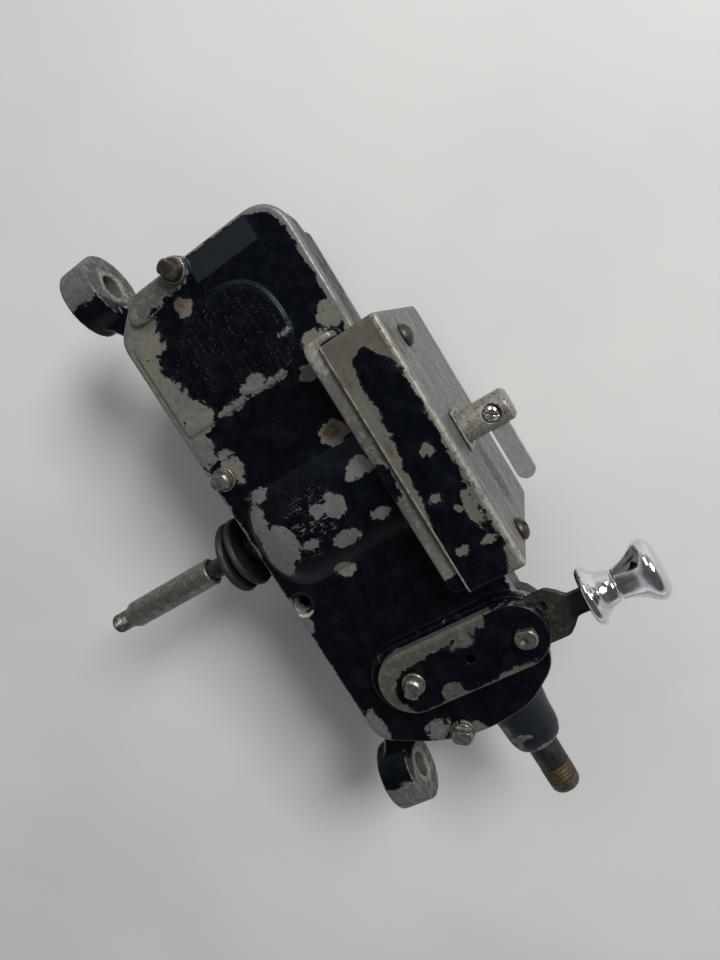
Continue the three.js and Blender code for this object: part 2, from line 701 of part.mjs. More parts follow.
function addSpindle() {
  const group = axisGroup(0, 0, spindleHeight);
  const sleeveStart = -63;
  const innerEnd = -99;
  const mouthFloor = sleeveStart - 3.5;
  piece("spindle", solid(turned("y", [
    [0, innerEnd], [spindleNeckRadius, innerEnd], [spindleNeckRadius, mouthFloor + gap],
    [spindleRadius, mouthFloor + gap], [spindleRadius, 18.6], [0, 18.6],
  ])), wornSteel, group);

  const sleeve = solid(turned("y", [
    [0, spindleTip], [3, spindleTip], [3.6, spindleTip + 0.7],
    [3.6, spindleTip + 7], [sleeveRadius, spindleTip + 10],
    [sleeveRadius, sleeveStart - 0.4], [sleeveRadius - 0.4, sleeveStart], [0, sleeveStart],
  ], [0, 0, 0], 28));
  const sleeveBore = join(
    bar("y", spindleNeckRadius + gap, innerEnd - 0.5, sleeveStart + 1, [0, 0, 0], 24),
    bar("y", 4, mouthFloor, sleeveStart + 1, [0, 0, 0], 24),
    bar("x", 1.7, 1, 6, [0, spindleTip + 14, 0], 12),
  );
  piece("spindle_sleeve", sleeve.subtract(sleeveBore), wornSteel, group);

  const teeth = prism("y", gearOutline(pinionTeeth, pinionRadius - 1.2, pinionRadius + 0.9, 0), -22.5, -14.5);
  const bore = bar("y", spindleRadius + gap, -24, -12, [0, 0, 0], 24);
  piece("spindle_pinion", solid(teeth).subtract(solid(bore)), wornSteel, group);

  const bushBore = spindleRadius + gap;
  piece("spindle_bush_front", tube("y", 5, bushBore, -54.6, -24.8), bronze, group);
  piece("spindle_bush_rear", tube("y", 4.5, bushBore, 12.2, 19.3), bronze, group);

  const grommetProfile = (back) => [
    [0, back - 2.8], [11.8, back - 2.8], [12.8, back - 2.1], [13, back - 1.3], [12.2, back], [0, back],
  ];
  const places = { inner: -44.8, outer: -49.6 };
  for (const [name, back] of Object.entries(places)) {
    const disc = solid(turned("y", grommetProfile(back), [0, 0, 0], 32));
    const hole = solid(bar("y", 5.3, back - 6, back + 1));
    piece(`grommet_${name}`, disc.subtract(hole), blackRubber, group);
  }
}

// ---------------------------------------------------------------- gear train

function addQuadrant() {
  const group = axisGroup(quadrantAxis.x, 0, quadrantAxis.z);
  const front = -21.5;
  const back = -15.5;
  const toothPitch = (2 * Math.PI) / quadrantTeeth;
  const firstTooth = Math.PI + toothPitch / 2;
  const fullGear = gearOutline(quadrantTeeth, quadrantRadius - 1.2, quadrantRadius + 0.9, firstTooth);
  const reach = 22;
  const halfSpread = (38 * Math.PI) / 180;
  const wedge = new THREE.Shape([
    new THREE.Vector2(2, 0),
    new THREE.Vector2(-reach * Math.cos(halfSpread), reach * Math.sin(halfSpread)),
    new THREE.Vector2(-reach * 1.4, 0),
    new THREE.Vector2(-reach * Math.cos(halfSpread), -reach * Math.sin(halfSpread)),
  ]);
  const cutter = solid(prism("y", wedge, front - 1, back + 1));
  const sector = solid(prism("y", fullGear, front, back)).intersect(cutter);
  const arm = join(
    bar("y", 6, front, back),
    block(-3.4, 3.4, front, back, -quadrantArm, 0),
    bar("y", 4.2, front, back, [0, 0, -quadrantArm], 20),
    bar("y", 2.2, back - 1, back + 1.3, [0, 0, -quadrantArm], 16),
  );
  const bore = solid(bar("y", 2.8, front - 1, back + 1, [0, 0, 0], 20));
  piece("drive_quadrant", sector.add(arm).subtract(bore), softIron, group);
  piece("quadrant_pin", join(
    bar("y", 2.5, -30, -14.6, [0, 0, 0], 20),
    bar("y", 4, -15.2, -14.3, [0, 0, 0], 20),
  ), springSteel, group);
}

function addWormWheel() {
  const group = axisGroup(wheelAxis.x, 0, wheelAxis.z);
  const face = { front: -7.5, back: -0.5 };
  const outline = gearOutline(wheelTeeth, wheelRadius - 1.2, wheelRadius + 0.6, -Math.PI / 2, 0.28, 0.12);
  const wheel = join(
    prism("y", outline, face.front, face.back),
    bar("y", 6, face.back - 1, 6.5),
    bar("y", 2.2, -14.1, face.front + 1, [0, 0, crankThrow], 16),
  );
  const bore = solid(bar("y", 3.3, face.front - 1, 8, [0, 0, 0], 20));
  piece("worm_wheel", wheel.subtract(bore), fibre, group);
  piece("wheel_axle", solid(bar("y", 3, -9, 19.4, [0, 0, 0], 20)), springSteel, group);
}

function addLink() {
  const group = axisGroup(wheelAxis.x, 0, wheelAxis.z + crankThrow);
  const front = -13.7;
  const back = -10.2;
  const farEnd = [quadrantAxis.x - wheelAxis.x, 0, -crankThrow];
  const direction = Math.atan2(farEnd[2], farEnd[0]);
  const length = Math.hypot(farEnd[0], farEnd[2]);
  const strap = block(0, length, front, back, -2.4, 2.4).rotateY(-direction);
  const body = join(strap, bar("y", 4.2, front, back, [0, 0, 0], 24), bar("y", 4.2, front, back, farEnd, 24));
  const bores = join(
    bar("y", 2.5, front - 1, back + 1, [0, 0, 0], 16),
    bar("y", 2.5, front - 1, back + 1, farEnd, 16),
  );
  piece("connecting_link", body.subtract(bores), wornSteel, group);
}

// A worm thread about the X axis: a trapezoid ridge swept along a helix, closed at both ends.
function wormThread(start, turns, stepsPerTurn) {
  const lead = Math.PI * gearModule;
  const footRadius = 3.3;
  const crestRadius = 5.2;
  const halfFoot = 0.65;
  const halfCrest = 0.4;
  const section = [
    [footRadius, -halfFoot], [crestRadius, -halfCrest], [crestRadius, halfCrest], [footRadius, halfFoot],
  ];
  const steps = turns * stepsPerTurn;
  const positions = [];
  for (let step = 0; step <= steps; step += 1) {
    const angle = (step / stepsPerTurn) * 2 * Math.PI;
    const along = start + (lead * step) / stepsPerTurn;
    for (const [radius, offset] of section) {
      positions.push(along + offset, -radius * Math.sin(angle), radius * Math.cos(angle));
    }
  }
  const index = [0, 1, 2, 0, 2, 3];
  for (let step = 0; step < steps; step += 1) {
    for (let side = 0; side < 4; side += 1) {
      const here = step * 4 + side;
      const next = step * 4 + ((side + 1) % 4);
      index.push(here, here + 4, next, next, here + 4, next + 4);
    }
  }
  const last = steps * 4;
  index.push(last, last + 2, last + 1, last, last + 3, last + 2);
  const geometry = new THREE.BufferGeometry();
  geometry.setAttribute("position", new THREE.Float32BufferAttribute(positions, 3));
  geometry.setIndex(index);
  return geometry;
}

// ---------------------------------------------------------------- motor

function addArmature() {
  const group = axisGroup(0, motorAxis.y, motorAxis.z);
  const shaftRadius = 3;
  const bore = shaftRadius + gap;
  const threadTurns = 5;
  const threadStart = wheelAxis.x - ((threadTurns * Math.PI) / 2) * gearModule;
  const shaft = join(
    bar("x", shaftRadius, -82.8, 79.6, [0, 0, 0], 20),
    bar("x", 3.6, threadStart - 3, 2 * wheelAxis.x - threadStart + 3, [0, 0, 0], 20),
    wormThread(threadStart, threadTurns, 12),
  );
  piece("armature_shaft", shaft, wornSteel, group);

  const slots = 10;
  const core = { left: -55.5, right: -32.5, radius: 9 };
  const laminations = gearOutline(slots, 5.6, core.radius, 0, 0.33, 0.4);
  const coreBore = solid(bar("x", bore, core.left - 1, core.right + 1, [0, 0, 0], 20));
  const coreStack = solid(prism("x", laminations, core.left, core.right)).subtract(coreBore);
  piece("armature_core", coreStack, softIron, group);

  const windingProfile = (from, to) => [
    [bore, from], [6, from], [8.2, from + 1.4], [8.8, (from + to) / 2],
    [8.2, to - 1.4], [6, to], [bore, to], [bore, from],
  ];
  const windings = { left: [-61.6, core.left - gap], right: [core.right + gap, -26.6] };
  for (const [side, [from, to]] of Object.entries(windings)) {
    const ring = solid(turned("x", windingProfile(from, to), [0, 0, 0], 20));
    piece(`armature_winding_${side}`, ring, copper, group);
  }

  const segments = gearOutline(12, 6.9, 7.5, 0, 0.44, 0.44);
  const commutator = solid(prism("x", segments, -74, -64)).add(solid(bar("x", 5, -65, -62, [0, 0, 0], 20)));
  const commutatorBore = solid(bar("x", bore, -75, -61, [0, 0, 0], 20));
  piece("commutator", commutator.subtract(commutatorBore), copper, group);

  piece("bearing_left", tube("x", 4.5, bore, -83, -78.4, [0, 0, 0], 20), bronze, group);
  piece("bearing_right", tube("x", 4.5, bore, 72, 79.8, [0, 0, 0], 20), bronze, group);
}

function addField() {
  const group = axisGroup(0, motorAxis.y, motorAxis.z);
  const left = -58;
  const right = -30;
  const bodyRadius = 17.2;
  const boreRadius = 15.6;
  const shoeOuter = 11.2;
  const shoeInner = 9.5;
  const shoes = tube("x", shoeOuter, shoeInner, left + 2, right - 2, [0, 0, 0], 32).intersect(
    solid(block(left, right, -6.6, 6.6, -20, 20)),
  );
  const necks = solid(block(left + 2, right - 2, -2.8, 2.8, -boreRadius - 0.5, boreRadius + 0.5));
  const neckCore = solid(bar("x", 10.4, left - 1, right + 1, [0, 0, 0], 32));
  const yoke = tube("x", bodyRadius, boreRadius, left, right, [0, 0, 0], 36);
  piece("field_yoke", yoke.add(shoes).add(necks.subtract(neckCore)), softIron, group);

  const coil = { low: shoeOuter + 0.4, high: 13.6, outer: 6.1, inner: 3.2 };
  for (const [name, side] of [["upper", 1], ["lower", -1]]) {
    const [z0, z1] = side > 0 ? [coil.low, coil.high] : [-coil.high, -coil.low];
    const outside = block(left - 1.6, right + 1.6, -coil.outer, coil.outer, z0, z1);
    const inside = block(left + 1.5, right - 1.5, -coil.inner, coil.inner, z0 - 1, z1 + 1);
    piece(`field_coil_${name}`, solid(outside).subtract(solid(inside)), copper, group);
  }
}

function addBrushGear() {
  const group = axisGroup(0, motorAxis.y, motorAxis.z);
  const middleX = -69;
  const boxHalf = 4.6;
  const holeHalf = 3;
  const boxStart = 9.2;
  const boxEnd = 19;
  let holder = tube("x", 16.6, 4.6, -77.5, -75.4, [0, 0, 0], 32);
  for (const side of [-1, 1]) {
    const ends = [side * boxStart, side * boxEnd].sort((a, b) => a - b);
    const holeEnds = [side * (boxStart - 1), side * (boxEnd - 1.4)].sort((a, b) => a - b);
    holder = holder.add(solid(block(-76, middleX + boxHalf, ...ends, -boxHalf, boxHalf)));
    const hole = block(middleX - holeHalf, middleX + holeHalf, ...holeEnds, -holeHalf, holeHalf);
    holder = holder.subtract(solid(hole));
  }
  piece("brush_holder", holder, bakelite, group);

  for (const [name, side] of [["front", -1], ["rear", 1]]) {
    const half = holeHalf - gap;
    const ends = [side * 7.9, side * 13.6].sort((a, b) => a - b);
    const brush = block(middleX - half, middleX + half, ...ends, -half, half);
    piece(`brush_${name}`, solid(brush), carbon, group);
    piece(`brush_spring_${name}`, brushSpring(middleX, side), springSteel, group);
  }
}

// A small compression spring along Y between a brush and the end of its box.
function brushSpring(x, side) {
  const coils = 3;
  const radius = 1.9;
  const wireSides = 5;
  class Helix extends THREE.Curve {
    getPoint(share) {
      const angle = share * coils * 2 * Math.PI;
      const y = side * (14.3 + 2.9 * share);
      return new THREE.Vector3(x + radius * Math.cos(angle), y, radius * Math.sin(angle));
    }
  }
  const wire = new THREE.Shape();
  wire.absarc(0, 0, 0.32, 0, 2 * Math.PI, false);
  const settings = {
    steps: coils * 8, extrudePath: new Helix(), curveSegments: wireSides, bevelEnabled: false,
  };
  return solid(new THREE.ExtrudeGeometry(wire, settings));
}

// ---------------------------------------------------------------- assembly

piece("main_housing", makeHousing(), blackEnamel);
piece("side_cover", makeCover(), blackEnamel);
piece("cover_gasket", makeGasket(), gasketPaper);
addCoverBolts();
addSwitchBox();
addSwitchSpindle();
addSlideCover();
addParkSlide();
addCableNozzle();
addSpindle();
addQuadrant();
addWormWheel();
addLink();
addArmature();
addField();
addBrushGear();

export default parts;
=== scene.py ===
"""Looks for a worn windscreen wiper motor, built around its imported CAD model.

Shapes are drawn in millimetres in the model's own frame and become metres when a mesh is made:
X along the case, Y along the wiper spindle, Z up from the flat back to the cover.
"""
import json
import math
from contextlib import contextmanager

import bmesh
import bpy
import numpy as np
from mathutils import Matrix, Vector


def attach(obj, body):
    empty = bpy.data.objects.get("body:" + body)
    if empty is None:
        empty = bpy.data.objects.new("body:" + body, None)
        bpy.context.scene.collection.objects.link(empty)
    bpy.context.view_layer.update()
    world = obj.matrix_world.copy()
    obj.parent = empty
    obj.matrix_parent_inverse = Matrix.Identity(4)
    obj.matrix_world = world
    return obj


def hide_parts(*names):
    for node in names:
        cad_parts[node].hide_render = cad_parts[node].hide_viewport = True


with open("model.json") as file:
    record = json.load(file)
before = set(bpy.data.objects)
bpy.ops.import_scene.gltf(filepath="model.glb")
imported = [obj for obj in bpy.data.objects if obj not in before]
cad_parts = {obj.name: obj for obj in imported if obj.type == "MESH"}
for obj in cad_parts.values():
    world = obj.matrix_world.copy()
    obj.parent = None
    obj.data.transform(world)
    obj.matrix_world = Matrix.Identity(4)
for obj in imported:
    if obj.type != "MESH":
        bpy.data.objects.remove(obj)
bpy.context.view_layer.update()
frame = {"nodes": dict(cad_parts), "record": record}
nodes = frame["nodes"]

scene = bpy.context.scene

MM = 0.001
TURN = 2 * math.pi
PRINT_PITCH = 2.3  # from one row of worn print to the next
PAINTED = -9  # a depth into bare metal that keeps the enamel whole


# ---- meshes

def place(axis, a, b, t):
    """The point (a, b) of a section, at t along the axis."""
    return {"x": (t, a, b), "y": (a, t, b), "z": (a, b, t)}[axis]


@contextmanager
def opened(mesh):
    """A mesh opened for editing, and written back afterwards."""
    form = bmesh.new()
    form.from_mesh(mesh)
    yield form
    form.to_mesh(mesh)
    form.free()


def make(name, points, faces):
    """A mesh object from points in millimetres."""
    mesh = bpy.data.meshes.new(name)
    mesh.from_pydata([Vector(p) * MM for p in points], [], faces)
    obj = bpy.data.objects.new(name, mesh)
    scene.collection.objects.link(obj)
    with opened(mesh) as form:
        bmesh.ops.recalc_face_normals(form, faces=form.faces)
    return obj


def rounded(before, corner, after, reach, share, steps):
    """Points round a corner, cut back over a reach but at most over a share of each side."""
    ends = []
    for other in (before, after):
        length = math.hypot(other[0] - corner[0], other[1] - corner[1])
        back = min(reach, length * share)
        ends.append([corner[k] + (other[k] - corner[k]) * back / length for k in range(2)])
    return [
        tuple((1 - t) ** 2 * ends[0][k] + 2 * t * (1 - t) * corner[k] + t * t * ends[1][k] for k in range(2))
        for t in (step / steps for step in range(steps + 1))
    ]


def outline(corners, steps=8):
    """A closed outline through corners (a, b, reach), each rounded over its reach."""
    points = []
    for index, (a, b, reach) in enumerate(corners):
        if reach == 0:
            points.append((a, b))
            continue
        after = corners[(index + 1) % len(corners)]
        points += rounded(corners[index - 1], (a, b), after, reach, math.inf, steps)
    return points


def ring(radius, centre=(0, 0), sides=64):
    """A circle as an outline."""
    return [
        (centre[0] + radius * math.cos(TURN * k / sides), centre[1] + radius * math.sin(TURN * k / sides))
        for k in range(sides)
    ]


def obround(a, b0, b1, radius, steps=32):
    """A slot-shaped outline, long along its second coordinate."""
    return [
        (a + side * radius * math.cos(math.pi * k / steps), b + side * radius * math.sin(math.pi * k / steps))
        for side, b in ((-1, b0), (1, b1)) for k in range(steps + 1)
    ]


def bevel_edges(form, edges, width, segments):
    bmesh.ops.bevel(form, geom=edges, offset=width * MM, segments=segments, profile=0.5,
                    affect="EDGES", clamp_overlap=True)


def slab(name, section, axis, start, end, bevel=0.0, both=False):
    """A section pushed out along an axis. bevel rounds the end's rim, or both rims."""
    count = len(section)
    points = [place(axis, a, b, t) for t in (start, end) for a, b in section]
    faces = [[k, (k + 1) % count, count + (k + 1) % count, count + k] for k in range(count)]
    faces += [list(range(count)), list(range(count, 2 * count))]
    obj = make(name, points, faces)
    if bevel:
        with opened(obj.data) as form:
            edges = [e for e in form.edges if all(v.index >= count for v in e.verts)]
            if both:
                edges += [e for e in form.edges if all(v.index < count for v in e.verts)]
            bevel_edges(form, edges, bevel, 4)
    return obj


def bar(radius, centre, axis, start, end, sides=64):
    """A round bar, mostly to cut holes with."""
    return slab("bar", ring(radius, centre, sides), axis, start, end)


def block(name, x0, x1, y0, y1, z0, z1, bevel=0.0):
    """A box with rounded edges."""
    obj = slab(name, [(x0, y0), (x1, y0), (x1, y1), (x0, y1)], "z", z0, z1)
    if bevel:
        with opened(obj.data) as form:
            bevel_edges(form, form.edges[:], bevel, 3)
    return obj


def lathe(name, profile, axis, centre=(0, 0), sides=96):
    """A turned piece from (radius, place) pairs. A profile that leaves the axis closes on itself."""
    points = []
    rows = []
    for radius, t in profile:
        if radius == 0:
            rows.append([len(points)])
            points.append(place(axis, centre[0], centre[1], t))
            continue
        rows.append(list(range(len(points), len(points) + sides)))
        points += [place(axis, a, b, t) for a, b in ring(radius, centre, sides)]
    pairs = list(zip(rows, rows[1:]))
    if profile[0][0] != 0:
        pairs.append((rows[-1], rows[0]))
    faces = []
    for first, second in pairs:
        for k in range(sides):
            corners = [first[k % len(first)], first[(k + 1) % len(first)],
                       second[(k + 1) % len(second)], second[k % len(second)]]
            # a row on the axis is one point, and gives triangles
            corners = list(dict.fromkeys(corners))
            if len(corners) > 2:
                faces.append(corners)
    return make(name, points, faces)


def soft_profile(corners, radius=0.3, steps=4):
    """A profile with its inner corners rounded."""
    result = [corners[0]]
    for before, corner, after in zip(corners, corners[1:], corners[2:]):
        result += rounded(before, corner, after, radius, 0.45, steps)
    return result + [corners[-1]]


def settle(obj):
    """Applies the object's modifiers to its mesh."""
    graph = bpy.context.evaluated_depsgraph_get()
    settled = bpy.data.meshes.new_from_object(obj.evaluated_get(graph))
    obj.modifiers.clear()
    obj.data = settled
    return obj


def combine(obj, others, operation):
    """Joins or cuts solids, which are used up."""
    for other in others:
        step = obj.modifiers.new(operation, "BOOLEAN")
        step.operation = operation
        step.solver = "MANIFOLD"
        step.object = other
    settle(obj)
    for other in others:
        bpy.data.objects.remove(other)
    return obj


def add(obj, *others):
    return combine(obj, others, "UNION")


def cut(obj, *others):
    return combine(obj, others, "DIFFERENCE")


def soften(obj, voxel, rounds):
    """Rebuilds a solid as an even mesh with small radii on its edges, as a casting has."""
    grid = obj.modifiers.new("grid", "REMESH")
    grid.mode = "VOXEL"
    grid.voxel_size = voxel * MM
    ease = obj.modifiers.new("ease", "SMOOTH")
    ease.factor = 0.5
    ease.iterations = rounds
    return settle(obj)


def solid_copy(name, node):
    """A new object with a copy of a CAD node's mesh, welded."""
    mesh = nodes[node].data.copy()
    mesh.materials.clear()
    obj = bpy.data.objects.new(name, mesh)
    scene.collection.objects.link(obj)
    with opened(mesh) as form:
        bmesh.ops.remove_doubles(form, verts=form.verts, dist=0.002 * MM)
    return obj


def mesh_arrays(obj):
    """Points and normals in millimetres, and the edge list."""
    mesh = obj.data
    count = len(mesh.vertices)
    points = np.empty(count * 3)
    mesh.vertices.foreach_get("co", points)
    normals = np.empty(count * 3)
    mesh.vertices.foreach_get("normal", normals)
    edges = np.empty(len(mesh.edges) * 2, int)
    mesh.edges.foreach_get("vertices", edges)
    return points.reshape(-1, 3) / MM, normals.reshape(-1, 3), edges.reshape(-1, 2)


def neighbour_mean(values, edges, count):
    """Each point's value averaged over its neighbours."""
    total = np.zeros((count,) + values.shape[1:])
    np.add.at(total, edges[:, 0], values[edges[:, 1]])
    np.add.at(total, edges[:, 1], values[edges[:, 0]])
    degree = np.bincount(edges.ravel(), minlength=count).astype(float)
    degree = np.maximum(degree, 1)
    return total / (degree[:, None] if values.ndim > 1 else degree)


def edge_field(points, normals, edges):
    """How sharply the surface turns outwards, about 0 on a flat and 1 on an edge."""
    count = len(points)
    offset = points - neighbour_mean(points, edges, count)
    turn = np.einsum("ij,ij->i", offset, normals)
    for _ in range(3):
        turn = 0.5 * turn + 0.5 * neighbour_mean(turn, edges, count)
    return np.clip(turn / 0.045, -1.5, 1.5)


def store(obj, **fields):
    """Keeps numbers for the material under their names, one per point or one for them all."""
    count = len(obj.data.vertices)
    for name, values in fields.items():
        layer = obj.data.attributes.new(name, "FLOAT", "POINT")
        layer.data.foreach_set("value", np.broadcast_to(np.asarray(values, np.float32), count).copy())


def spots(height, deep, *places):
    """Patches (x, y, half width, half length) for patch_field, all at one height."""
    return [((x, y, height), (across, along, deep)) for x, y, across, along in places]


def into_bare(*depths):
    """The depth into bare metal, from the greatest of several."""
    return np.clip(np.maximum.reduce(depths), -8, 6)


def patch_field(points, patches):
    """The greatest signed depth inside any of the patches, in millimetres."""
    depth = np.full(len(points), -20.0)
    for centre, radii in patches:
        scaled = np.linalg.norm((points - np.array(centre)) / np.array(radii), axis=1)
        depth = np.maximum(depth, (1 - scaled) * min(radii))
    return np.where(depth < 0, 1.7 * depth, depth)


def smooth_shading(obj, angle=None):
    """Smooth shading, with edges sharper than the angle left crisp."""
    mesh = obj.data
    mesh.polygons.foreach_set("use_smooth", [True] * len(mesh.polygons))
    if angle is not None:
        limit = math.radians(angle)
        with opened(mesh) as form:
            for edge in form.edges:
                if len(edge.link_faces) == 2 and edge.calc_face_angle(0) > limit:
                    edge.smooth = False
    mesh.update()


def finish_piece(obj, body, material, node, angle=None):
    """Gives a piece its material and its body, and hides the CAD node that it stands for."""
    obj.data.materials.clear()
    obj.data.materials.append(material)
    smooth_shading(obj, angle)
    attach(obj, body)
    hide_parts(node)


def turn_about(obj, angle, centre):
    """Turns a piece about the upright line through a point in millimetres."""
    centre = Vector(centre) * MM
    turn = Matrix.Rotation(angle, 4, "Z")
    obj.data.transform(Matrix.Translation(centre) @ turn @ Matrix.Translation(-centre))


# ---- materials

class Nodes:
    """A node tree, with short calls for the nodes that are used here."""

    def __init__(self, tree, coordinates, scale):
        self.tree = tree
        where = self.node("ShaderNodeTexCoord").outputs[coordinates]
        inputs = {0: where, "Scale": scale}
        self.place = self.node("ShaderNodeVectorMath", inputs, operation="SCALE").outputs[0]

    def node(self, kind, inputs=None, **settings):
        """A new node with its settings, and its inputs linked or set."""
        made = self.tree.nodes.new(kind)
        for key, value in settings.items():
            setattr(made, key, value)
        for key, value in (inputs or {}).items():
            self.link(value, made.inputs[key])
        return made

    def link(self, value, socket):
        if hasattr(value, "is_output"):
            self.tree.links.new(value, socket)
        else:
            socket.default_value = value

    def math(self, operation, values, clamp):
        inputs = dict(enumerate(values))
        return self.node("ShaderNodeMath", inputs, operation=operation, use_clamp=clamp).outputs[0]

    def times(self, *values, clamp=False):
        return self.math("MULTIPLY", values, clamp)

    def plus(self, *values):
        return self.math("ADD", values, False)

    def minus(self, *values, clamp=False):
        return self.math("SUBTRACT", values, clamp)

    def most(self, *values):
        return self.math("MAXIMUM", values, False)

    def field(self, name):
        return self.node("ShaderNodeAttribute", attribute_name=name).outputs["Fac"]

    def broken(self, name, grain, low, high):
        """A field of the mesh, broken up by noise."""
        return self.times(self.field(name), self.ramp(grain, low, high), clamp=True)

    def stretched(self, scales):
        """The place, multiplied along each direction, so that noise is drawn out along the small ones."""
        inputs = {0: self.place, 1: scales}
        return self.node("ShaderNodeVectorMath", inputs, operation="MULTIPLY").outputs[0]

    def noise(self, size, detail=4.0, roughness=0.55, where=None, distortion=0.0):
        """Noise from 0 to 1 whose features are about size units wide."""
        return self.node("ShaderNodeTexNoise", {
            "Vector": where or self.place, "Scale": 1 / size, "Detail": detail, "Roughness": roughness,
            "Distortion": distortion,
        }).outputs["Fac"]

    def cells(self, size):
        return self.node("ShaderNodeTexVoronoi", {"Vector": self.place, "Scale": 1 / size},
                         feature="F1").outputs["Distance"]

    def ramp(self, value, low, high, to_low=0.0, to_high=1.0):
        """A soft step between two levels of a value, or of a noise that is given as a tuple."""
        if isinstance(value, tuple):
            value = self.noise(*value)
        return self.node("ShaderNodeMapRange", {
            "Value": value, "From Min": low, "From Max": high, "To Min": to_low, "To Max": to_high,
        }, interpolation_type="SMOOTHSTEP").outputs["Result"]

    def mix(self, share, first, second):
        """A blend of two colours, which are the mix node's inputs 6 and 7."""
        first, second = (c if hasattr(c, "is_output") else (*c, 1.0) for c in (first, second))
        inputs = {"Factor": share, 6: first, 7: second}
        return self.node("ShaderNodeMix", inputs, data_type="RGBA").outputs[2]

    def blend(self, share, first, second):
        """A blend of two numbers, which are the mix node's inputs 2 and 3."""
        inputs = {"Factor": share, 2: first, 3: second}
        return self.node("ShaderNodeMix", inputs, data_type="FLOAT").outputs[0]


class Surface(Nodes):
    """A material's nodes, measured in millimetres."""

    def __init__(self, name):
        self.material = bpy.data.materials.new(name)
        self.material.use_nodes = True
        self.material.node_tree.nodes.clear()
        super().__init__(self.material.node_tree, "Object", 1 / MM)
        self.shader = self.node("ShaderNodeBsdfPrincipled")
        self.node("ShaderNodeOutputMaterial", {"Surface": self.shader.outputs[0]})

    def worn_print(self):
        """Rows of small broken ticks along X, as when all that's left of print is its wear."""
        y = self.node("ShaderNodeSeparateXYZ", {0: self.place}).outputs[1]
        across = self.math("FRACT", [self.times(y, 1 / PRINT_PITCH)], False)
        row = self.ramp(self.math("ABSOLUTE", [self.minus(across, 0.5)], False), 0.32, 0.24)
        tick = self.ramp(self.noise(0.42, 2, 0.5, self.stretched((1.0, 0.36, 0.0))), 0.56, 0.63)
        left = self.ramp(self.noise(6.5, 4, 0.62), 0.42, 0.58)
        return self.times(self.times(row, tick), left)

    def bump(self, height, depth, strength=1.0, under=None):
        """Relief of a depth in millimetres."""
        inputs = {"Strength": strength, "Distance": depth * MM, "Height": height}
        if under:
            inputs["Normal"] = under
        return self.node("ShaderNodeBump", inputs).outputs[0]

    def set(self, **values):
        for key, value in values.items():
            socket = self.shader.inputs[key.replace("_", " ")]
            if isinstance(value, tuple):
                value = (*value, 1.0)
            self.link(value, socket)
        return self.material


